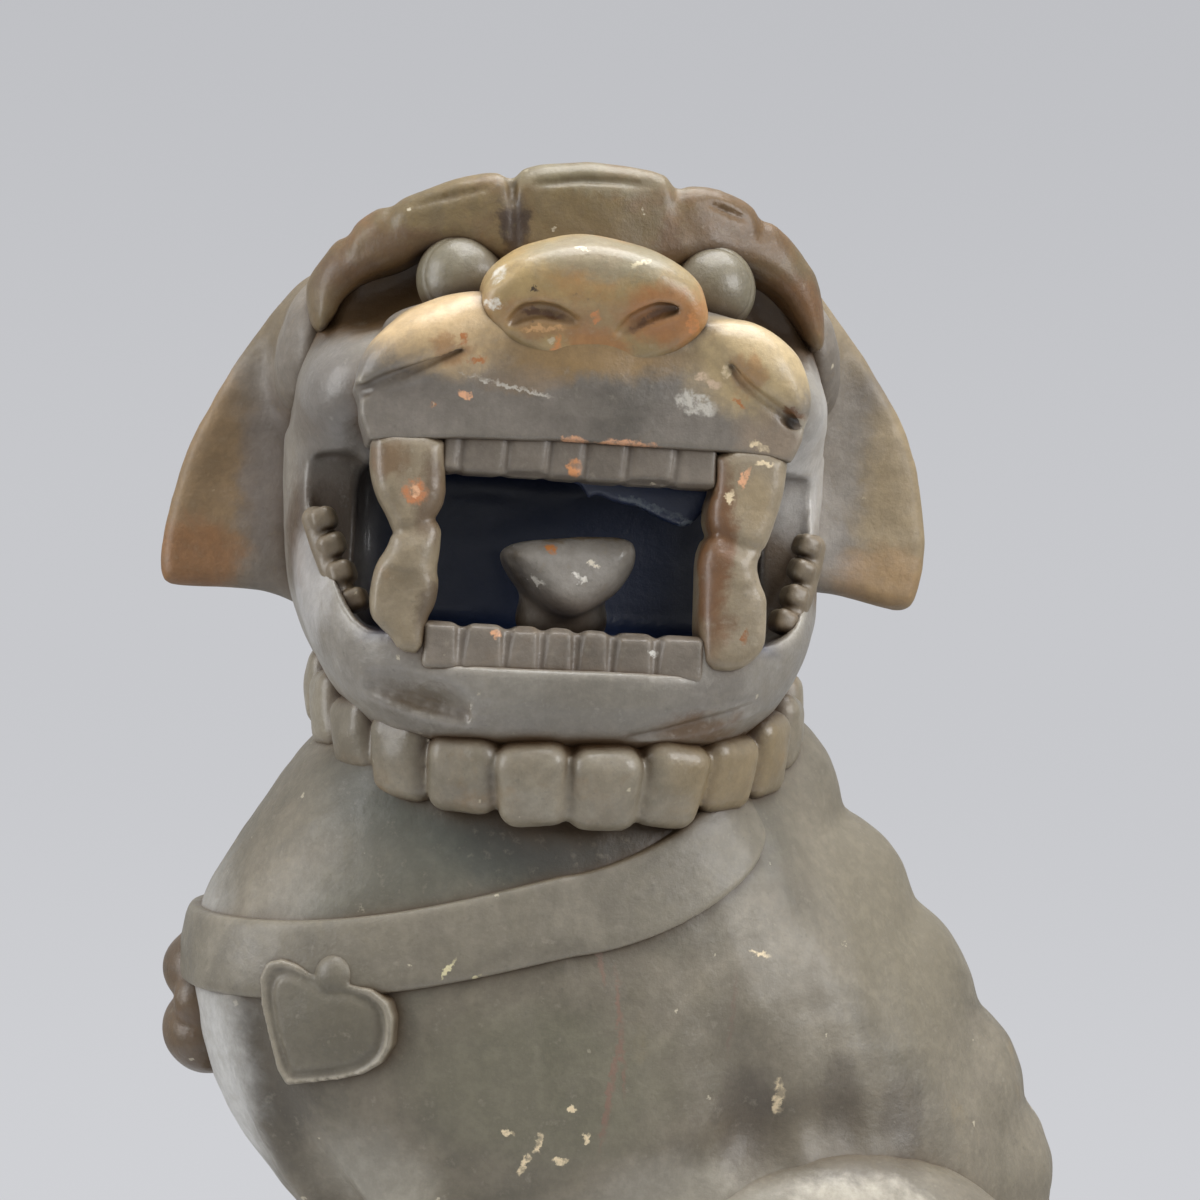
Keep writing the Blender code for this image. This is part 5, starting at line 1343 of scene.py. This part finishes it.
def makeTail():
    # Broad flame of fur up the rump: a middle lock, a shorter one each side, and two curls at the root.
    block = startBlock((38, -16, 21), (66, 16, 78), 0.45)

    def lock(y0, y1, high, thick, lean):
        # It climbs the skin of the rump, and its thickness swells and falls as half a sine wave.
        t = np.linspace(0, 1, 12)
        height = tailShape["root"] + (high - tailShape["root"]) * t
        base = torsoPoint(height, 0.0)[:, 0]
        line = np.stack([base + 1.2 + lean * t * (1 - t), y0 + (y1 - y0) * t**1.5, height], 1)
        return rope(line, thick * np.sin(math.pi * (0.18 + 0.76 * t)))

    carve(block, lock(*tailShape["middle"]), 0)
    x, y, z = tailShape["curlAt"]
    points = tailShape["curlPoints"]
    radii = tailShape["curlRadius"] - 0.16 * np.arange(points)
    spiral = np.linspace(0, 2 * math.pi * tailShape["curlTurns"], points)
    for side in (-1, 1):
        for y0, y1, *rest in tailShape["locks"]:
            carve(block, lock(side * y0, side * y1, *rest), 0.7)
        line = [
            x + 0.9 - 0.02 * np.arange(points), side * (y + radii * np.cos(spiral)),
            z + radii * np.sin(spiral),
        ]
        carve(block, rope(np.stack(line, 1), np.linspace(2.0, 1.2, points)), 0.4)
    for y0 in (-2.0, 2.0):
        carve(block, rope([(62.0, y0, 30), (63.0, y0 * 0.8, 46), (59.5, y0 * 0.4, 64)], 0.7), 0.5, True)
    return carved("tailFlame", block, stainedJade, ["tail"], "stained_jade", 0.10, 41)


collarShape = {
    "middle": (-9.6, -2.0, 133.5), "tilt": 18, "beads": 22,
    "beadRing": (26.2, 28.6), "coreRing": (24.0, 26.4), "coreThick": 3.6,  # half width and half length
    "beadHalf": (4.35, 4.7, 5.0), "beadEdge": 2.5, "beadSwelling": (4.6, 5.1, 5.0),
}


def makeCollar():
    # Square blocks with round corners, tight together round the neck in a ring that dips at the front.
    block = startBlock((-48, -39, 113), (27, 34, 153), 0.45)
    (x, y, z), tilt, beads = (collarShape[key] for key in ("middle", "tilt", "beads"))
    cosine, sine = math.cos(math.radians(tilt)), math.sin(math.radians(tilt))

    def onRing(angle, wide, long):
        # A point of the tipped ring round the neck, at an angle from the front.
        ahead = long * math.cos(angle)
        return x + wide * math.sin(angle), y - ahead * cosine, z - ahead * sine

    wide, deep, high = collarShape["beadHalf"]
    for i in range(beads):
        a = 2 * math.pi * (i + 0.35) / beads
        centre = onRing(a, *collarShape["beadRing"])
        sideways = math.degrees(math.atan2(math.sin(a), math.cos(a)))
        turn = (tilt * math.cos(a), 6 * math.sin(i * 1.7), sideways)
        half = (wide, deep, high + 0.3 * math.sin(i * 2.4))
        carve(block, brick(centre, half, collarShape["beadEdge"], turn), 0.35)
        carve(block, egg(centre, collarShape["beadSwelling"], turn), 0.8)
    line = [onRing(a, *collarShape["coreRing"]) for a in np.linspace(0, 2 * math.pi, 60)]
    carve(block, rope(line, collarShape["coreThick"]), 0.5)
    return carved("collar", block, beadJade, ["collar_beads"], "stained_jade", 0.13, 43)


strapShape = {
    "chest": 102.0, "climb": 32.0, "climbPower": 2.1,  # height at the chest, and what it gains to the nape
    "halfWidth": 4.5, "halfThick": 1.45, "sideRoundness": 0.28, "faceRoundness": 0.34,
    "ends": 40, "sinkOver": 22, "sinkBy": 1.75,  # azimuths in degrees: where it ends, and where it sinks in
    "sections": 360, "corners": 28,
}


def makeStrap():
    # Band on the torso's skin: a cross section with softened edges, carried round by azimuth. Its centre
    # climbs from the chest to the nape as a power of (1 + cos azimuth) / 2.
    shape = strapShape
    steps, corners, ends = shape["sections"], shape["corners"], shape["ends"]
    azimuth = np.linspace(ends, 360 - ends, steps)[:, None]
    rise = ((1 + np.cos(np.radians(azimuth))) / 2) ** shape["climbPower"]
    centre = shape["chest"] + shape["climb"] * rise
    corner = np.linspace(0, 2 * math.pi, corners, endpoint=False)[None, :]
    c, s = np.cos(corner), np.sin(corner)
    across = np.sign(c) * np.abs(c) ** shape["sideRoundness"] * shape["halfWidth"]
    sink = np.clip((np.minimum(azimuth, 360 - azimuth) - ends) / shape["sinkOver"], 0, 1)
    proud = np.sign(s) * np.abs(s) ** shape["faceRoundness"] * shape["halfThick"]
    proud = proud + 0.12 * (across / shape["halfWidth"]) - shape["sinkBy"] * (
        1 - sink * sink * (3 - 2 * sink)
    )
    points = np.stack([azimuth * 0.6 + 0 * corner, 0 * azimuth + across, 0 * azimuth + proud], -1)
    edge = waves(points.reshape(-1, 3), 9, 47).reshape(steps, -1) * 0.10
    verts = torsoPoint(centre + across, azimuth + 0 * across, proud - 0.15 + edge).reshape(-1, 3)
    faces = gridFaces(steps, corners)
    caps = []
    for row in (0, steps - 1):
        middle = len(verts)
        loop = np.arange(corners) + row * corners
        verts = np.vstack([verts, verts[loop].mean(0)])
        after = np.roll(loop, -1)
        first, second = (loop, after) if row else (after, loop)
        caps.append(np.stack([first, second, np.full(corners, middle)], 1))
    return makePiece("strap", *facing(verts, faces, caps), jade, ["harness_strap"], "jade")


def facing(verts, faces, caps=()):
    # Triangles of a closed grid and its end caps, turned round if the volume inside comes out negative.
    triangles = np.vstack([faces[:, [0, 1, 2]], faces[:, [0, 2, 3]], *caps])
    a, b, c = (verts[triangles[:, i]] for i in range(3))
    volume = np.einsum("ij,ij->i", a, np.cross(b, c)).sum()
    return verts, triangles[:, ::-1] if volume < 0 else triangles


heartShape = {
    # as the picture has it, in X and Z
    "outline": (
        (-43.2, 102.4), (-41.6, 102.9), (-39.8, 102.4), (-37.8, 101.2), (-36.2, 100.2), (-34.2, 100.6),
        (-31.6, 100.4), (-29.6, 99.1), (-29.0, 97.1), (-29.2, 93.9), (-30.4, 91.8), (-32.4, 90.4),
        (-35.1, 89.5), (-37.9, 88.9), (-40.8, 88.4), (-41.9, 90.0), (-43.0, 94.0), (-43.8, 97.5),
        (-44.0, 100.6),
    ),
    "middle": (-36.6, 95.8), "knob": (-35.9, 101.4), "knobRadii": (2.4, 1.75, 2.5),
    "pillow": (6.4, 2.1, 5.6), "rim": 0.84, "grooveThick": 0.62,
}


def makeHeart(name, side, node):
    # Heart on the flank, drawn as it is in the picture: its knob hangs in the cleft, its rim is a wide bevel,
    # and its face is a low pillow.
    middle = np.array(heartShape["middle"])
    turns = np.linspace(185, 268, 60)
    azimuth = -side * float(np.interp(middle[0], torsoPoint(np.full(60, middle[1]), turns)[:, 0], turns))
    here, above, below = (torsoPoint(np.array([middle[1] + d]), azimuth)[0] for d in (0, 2.0, -2.0))
    up = above - below
    before, after = (torsoPoint(np.array([middle[1]]), azimuth + d)[0] for d in (-2, 2))
    outward = np.cross(after - before, up)
    outward *= (1 if outward[1] * side > 0 else -1) / np.linalg.norm(outward)
    across = np.cross(-outward, (0, 0, 1))
    across /= np.linalg.norm(across)
    up = np.cross(across, -outward)
    turn = tuple(math.degrees(a) for a in Matrix((across, -outward, up)).transposed().to_euler())
    # the picture shows it from the side, so its width is spread by how far the skin turns away
    flat = (np.array(heartShape["outline"]) - middle) / (abs(across[0]), 1.0) * (-side, 1)
    block = startBlock(here - 13, here + 13, 0.28)
    carve(block, slab(flat, -1.35, 3.5, 0.35, here, turn), 0)
    # a groove inside the rim, the swelling of the face, and the knob in the cleft
    inner = rounded(flat * heartShape["rim"] + (0, -0.2), 1)
    inner = np.vstack([inner, inner[:1]])
    groove = [here + across * u + outward * 1.45 + up * v for u, v in inner]
    carve(block, rope(groove, heartShape["grooveThick"]), 0.5, True)
    carve(block, egg(tuple(here - outward * 0.4), heartShape["pillow"], turn), 0.8)
    aside, lift = np.array(heartShape["knob"]) - middle
    knobAt = here + across * (aside / abs(across[0]) * -side) + up * lift
    carve(block, egg(tuple(knobAt), heartShape["knobRadii"], turn), 0.15)
    return carved(name, block, jade, [node], "jade", 0.06, 51)


# place in X and Z, and size, of each lobe
ornamentLobes = ((-51.2, 103.4, 3.2), (-51.3, 98.5, 5.3), (-50.5, 91.0, 5.9))


def makeOrnament():
    # Three round lobes, one over another, that hang down the middle of the chest.
    block = startBlock((-64, -10, 78), (-42, 10, 110), 0.4)
    for x, z, size in ornamentLobes:
        carve(block, egg((x, 0, z), (size, size * 1.15, size * 0.95)), 0.5)
    for y in (-4.6, 4.6):
        carve(block, egg((-51.6, y, 95.1), (3.4, 3.0, 3.6)), 0.5)
    return carved("chestOrnament", block, ornamentJade, ["chest_bell"], "stained_jade", 0.10, 53)


plinthShape = {
    "half": (64, 40), "squareness": 9, "sides": 480, "rings": 90, "capRings": 22,
    # height, and how far the face lies behind the widest section
    "profile": (
        (0.0, 1.4), (0.25, 0.5), (1.2, 0.0), (4.4, 0.0), (5.0, 0.35), (5.5, 1.3), (6.2, 1.3), (6.7, 0.35),
        (7.3, 0.0), (13.0, 0.0), (13.6, 0.35), (14.1, 1.3), (14.8, 1.3), (15.3, 0.35), (15.9, 0.0),
        (18.2, 0.15), (19.1, 0.6), (19.7, 1.4), (20.0, 2.6),
    ),
}


def makePlinth():
    # Rounded rectangle carried up a profile: section size falls by the profile's inset at each height.
    profile = plinthShape["profile"]
    heights, insets = np.array(profile).T
    fine = np.linspace(0, len(profile) - 1, plinthShape["rings"])
    heights, insets = (np.interp(fine, np.arange(len(profile)), row) for row in (heights, insets))
    a = np.linspace(0, 2 * math.pi, plinthShape["sides"], endpoint=False)[None, :]
    c, s = np.cos(a), np.sin(a)
    halfX, halfY = (half - insets[:, None] for half in plinthShape["half"])
    power = 2 / plinthShape["squareness"]
    x, y = np.sign(c) * np.abs(c) ** power * halfX, np.sign(s) * np.abs(s) ** power * halfY
    verts = np.stack([x, y, heights[:, None] + 0 * x], -1)
    shrink = np.linspace(1, 0, plinthShape["capRings"])[1:]
    top = np.stack([verts[-1] * (k, k, 1) for k in shrink])
    bottom = np.stack([verts[0] * (k, k, 1) for k in shrink[::-1]])
    verts = np.vstack([bottom, verts, top])
    rows = len(verts)
    sides = plinthShape["sides"]
    verts, faces = weld(verts.reshape(-1, 3), gridFaces(rows, sides), rows, sides)
    verts, faces = facing(verts, faces)
    return makePiece("plinthSlab", verts, faces, jade, ["plinth"], "jade")


maneShape = {
    "grown": 1.2,  # over the skull
    "rows": ((185.0, 3), (174.5, 4), (161.5, 5), (149.0, 4)),  # height, and curls in the row
    "spacing": 36, "dome": (6.4, 6.4, 6.2), "outerRadius": 6.3, "innerRadius": 1.0, "rollTurns": 1.8,
    "points": 34,
}


def makeMane():
    # Rows of curls over the back of the head. Each is a spiral roll on a low dome.
    block = startBlock((-50, -6, 138), (28, 36, 198), 0.5)
    over, points, outer = (maneShape[key] for key in ("grown", "points", "outerRadius"))
    grown = [(h, w + over, f, b + over) for h, w, f, b in skullShape["rows"] if h > 134]
    carve(block, tower(grown, 2.7, headX), 0)
    carve(block, brick((headX, -22, 165), (44, 24, 42), 1.0), 0.5, True)
    angle = np.linspace(0, 2 * math.pi * maneShape["rollTurns"], points)
    size = np.linspace(outer, maneShape["innerRadius"], points)
    for height, count in maneShape["rows"]:
        half, front, back = (float(v[0]) for v in readRows(skullShape["rows"], np.array([height])))
        for i in range(count):
            a = math.radians((i - (count - 1) / 2) * maneShape["spacing"])
            out = Vector((math.sin(a), math.cos(a), 0))
            lift = Vector((out.x, out.y, max(height - 170, 0) * 0.035)).normalized()
            y = (front + back) / 2 + out.y * (back - front) / 2 * 0.99
            place = np.array((headX + out.x * half * 0.97, y, height))
            side = Vector((0, 0, 1)).cross(lift).normalized()
            up = lift.cross(side)
            carve(block, egg(place, maneShape["dome"]), 0.8)
            hand = 1 if i % 2 else -1
            line = []
            for r, t in zip(size, angle):
                away = lift * (3.4 + 3.4 * (1 - r / outer))
                line.append(place + np.array(away + side * (hand * r * math.cos(t)) + up * (r * math.sin(t))))
            carve(block, rope(line, np.linspace(1.9, 1.5, points)), 0.35)
    for side in (-1, 1):
        beside = brick((headX + side * 41.5, -1.0, 165), (11.5, 12.5, 44), 0.5, (0, 0, side * 8))
        carve(block, beside, 0.4, True)
    return carved("maneCurls", block, maneJade, ["mane_curls"], "jade", 0.10, 57)


makeTorso()
for word, side in (("Left", -1), ("Right", 1)):
    makeHaunch("haunch" + word, side, "haunch_" + word.lower())
for word, side in (("Left", -1), ("Right", 1)):
    makeFrontLeg("frontLeg" + word, side, *legShape[word.lower()], "front_leg_" + word.lower())
for name, centre, size, node, seed in (
    ("frontPawLeft", (-42, -20.5, 19.8), (26, 18, 12.5), "front_paw_left", 61),
    ("frontPawRight", (-42, 20.5, 40.6), (26, 18, 12.5), "front_paw_right", 62),
    ("hindPawLeft", (-13, -27.0, 19.8), (30, 16.5, 12.5), "hind_paw_left", 63),
    ("hindPawRight", (-13, 27.0, 19.8), (30, 16.5, 12.5), "hind_paw_right", 64),
):
    makePaw(name, centre, size, node, seed)
makeBall()
makeTail()
makeCollar()
makeStrap()
makeHeart("heartLeft", -1, "heart_plaque_left")
makeHeart("heartRight", 1, "heart_plaque_right")
makeOrnament()
makePlinth()
makeMane()


# Pale board under the statue. It fades out a quarter of a metre away, into the tent round it.
boardLook = {
    "colour": "#b9babd", "roughness": 0.85, "solidTo": 0.15, "goneAt": 0.27,
    "radius": 0.28, "sides": 96, "below": 0.0004,
}
board = bpy.data.materials.new("matteBoard")
board.use_nodes = True
tree = board.node_tree
shader = tree.nodes["Principled BSDF"]
shader.inputs["Base Color"].default_value = linear(boardLook["colour"])
shader.inputs["Roughness"].default_value = boardLook["roughness"]
reach = addNode(tree, "VectorMath", (addNode(tree, "TexCoord")["Object"],), operation="LENGTH")["Value"]
inputs = (reach, boardLook["solidTo"], boardLook["goneAt"], 1.0, 0.0)
fade = addNode(tree, "MapRange", inputs, interpolation_type="SMOOTHSTEP")[0]
tree.links.new(fade, shader.inputs["Alpha"])
rim = [
    (boardLook["radius"] * math.cos(a), boardLook["radius"] * math.sin(a), -boardLook["below"])
    for a in np.linspace(0, 2 * math.pi, boardLook["sides"], endpoint=False)
]
floorMesh = bpy.data.meshes.new("floor")
floorMesh.from_pydata(rim, [], [tuple(range(boardLook["sides"]))])
floorMesh.materials.append(board)
floor = bpy.data.objects.new("floor", floorMesh)
bpy.context.scene.collection.objects.link(floor)

# Light tent of white cloth: bright above, dimmer at the sides and below. Where the eye sees the cloth
# itself, it is a pale grey that lightens downwards.
tentLook = {
    "above": 0.70, "level": 0.40, "below": 0.28, "seenHigh": "#bfc0c4", "seenLevel": "#c7c8cc",
    "seenLow": "#d0d1d5",
}
world = bpy.data.worlds.new("lightTent")
bpy.context.scene.world = world
world.use_nodes = True
tree = world.node_tree
upwards = addNode(tree, "SeparateXYZ", (addNode(tree, "TexCoord")["Generated"],))[2]
above, level, below = ((tentLook[k],) * 3 + (1,) for k in ("above", "level", "below"))
light = overlay(tree, level, above, upwards, (0.0, 0.9))
light = overlay(tree, below, light, upwards, (-0.5, 0.0))
seen = overlay(tree, linear(tentLook["seenLevel"]), tentLook["seenHigh"], upwards, (0.0, 0.28))
seen = overlay(tree, linear(tentLook["seenLow"]), seen, upwards, (-0.25, 0.0))
fromCamera = addNode(tree, "LightPath")["Is Camera Ray"]
colour = addNode(tree, "Mix", {0: fromCamera, 6: light, 7: seen}, data_type="RGBA")[2]
tree.links.new(colour, tree.nodes["Background"].inputs["Color"])

# Soft panels inside the tent: place, size and power of each. They face the middle of the statue.
lampLook = {
    "topPanel": ((0.04, -0.06, 0.62), (0.50, 0.40), 3.6),
    "leftPanel": ((-0.46, -0.10, 0.22), (0.20, 0.40), 1.2),
    "rightPanel": ((0.42, -0.36, 0.34), (0.30, 0.30), 2.0),
}
for name, (place, size, power) in lampLook.items():
    lamp = bpy.data.lights.new(name, "AREA")
    lamp.shape = "RECTANGLE"
    lamp.size, lamp.size_y = size
    lamp.energy = power
    made = bpy.data.objects.new(name, lamp)
    bpy.context.scene.collection.objects.link(made)
    way = Vector((0, 0, 0.15)) - Vector(place)
    made.matrix_world = Matrix.Translation(place) @ way.to_track_quat("-Z", "Y").to_matrix().to_4x4()

# The camera stands 320 mm in front of the head, 7 degrees to its right, and is rolled by 2.5 degrees.
cameraLook = {
    "azimuth": -7.0, "elevation": -1.0, "roll": 2.5, "distance": 0.320, "lens": 76.0, "sensor": 36.0,
    "nearest": 0.01, "target": (-0.0043, 0.0, 0.146),
}
azimuth, elevation, roll = (math.radians(cameraLook[k]) for k in ("azimuth", "elevation", "roll"))
level = math.cos(elevation)
backward = Vector((math.sin(azimuth) * level, -math.cos(azimuth) * level, math.sin(elevation)))
rightward = (-backward).cross(Vector((0, 0, 1))).normalized()
upward = backward.cross(rightward)
turnedRight = rightward * math.cos(roll) + upward * math.sin(roll)
turnedUp = upward * math.cos(roll) - rightward * math.sin(roll)
cameraData = bpy.data.cameras.new("camera")
cameraData.lens = cameraLook["lens"]
cameraData.sensor_width = cameraLook["sensor"]
cameraData.clip_start = cameraLook["nearest"]
camera = bpy.data.objects.new("camera", cameraData)
bpy.context.scene.collection.objects.link(camera)
place = Vector(cameraLook["target"]) + backward * cameraLook["distance"]
turned = Matrix((turnedRight, turnedUp, backward)).transposed().to_4x4()
camera.matrix_world = Matrix.Translation(place) @ turned
bpy.context.scene.camera = camera
bpy.context.scene.view_settings.view_transform = "Standard"

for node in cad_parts.values():
    node.data.materials.clear()
    node.data.materials.append(jade)

print("stage: done")
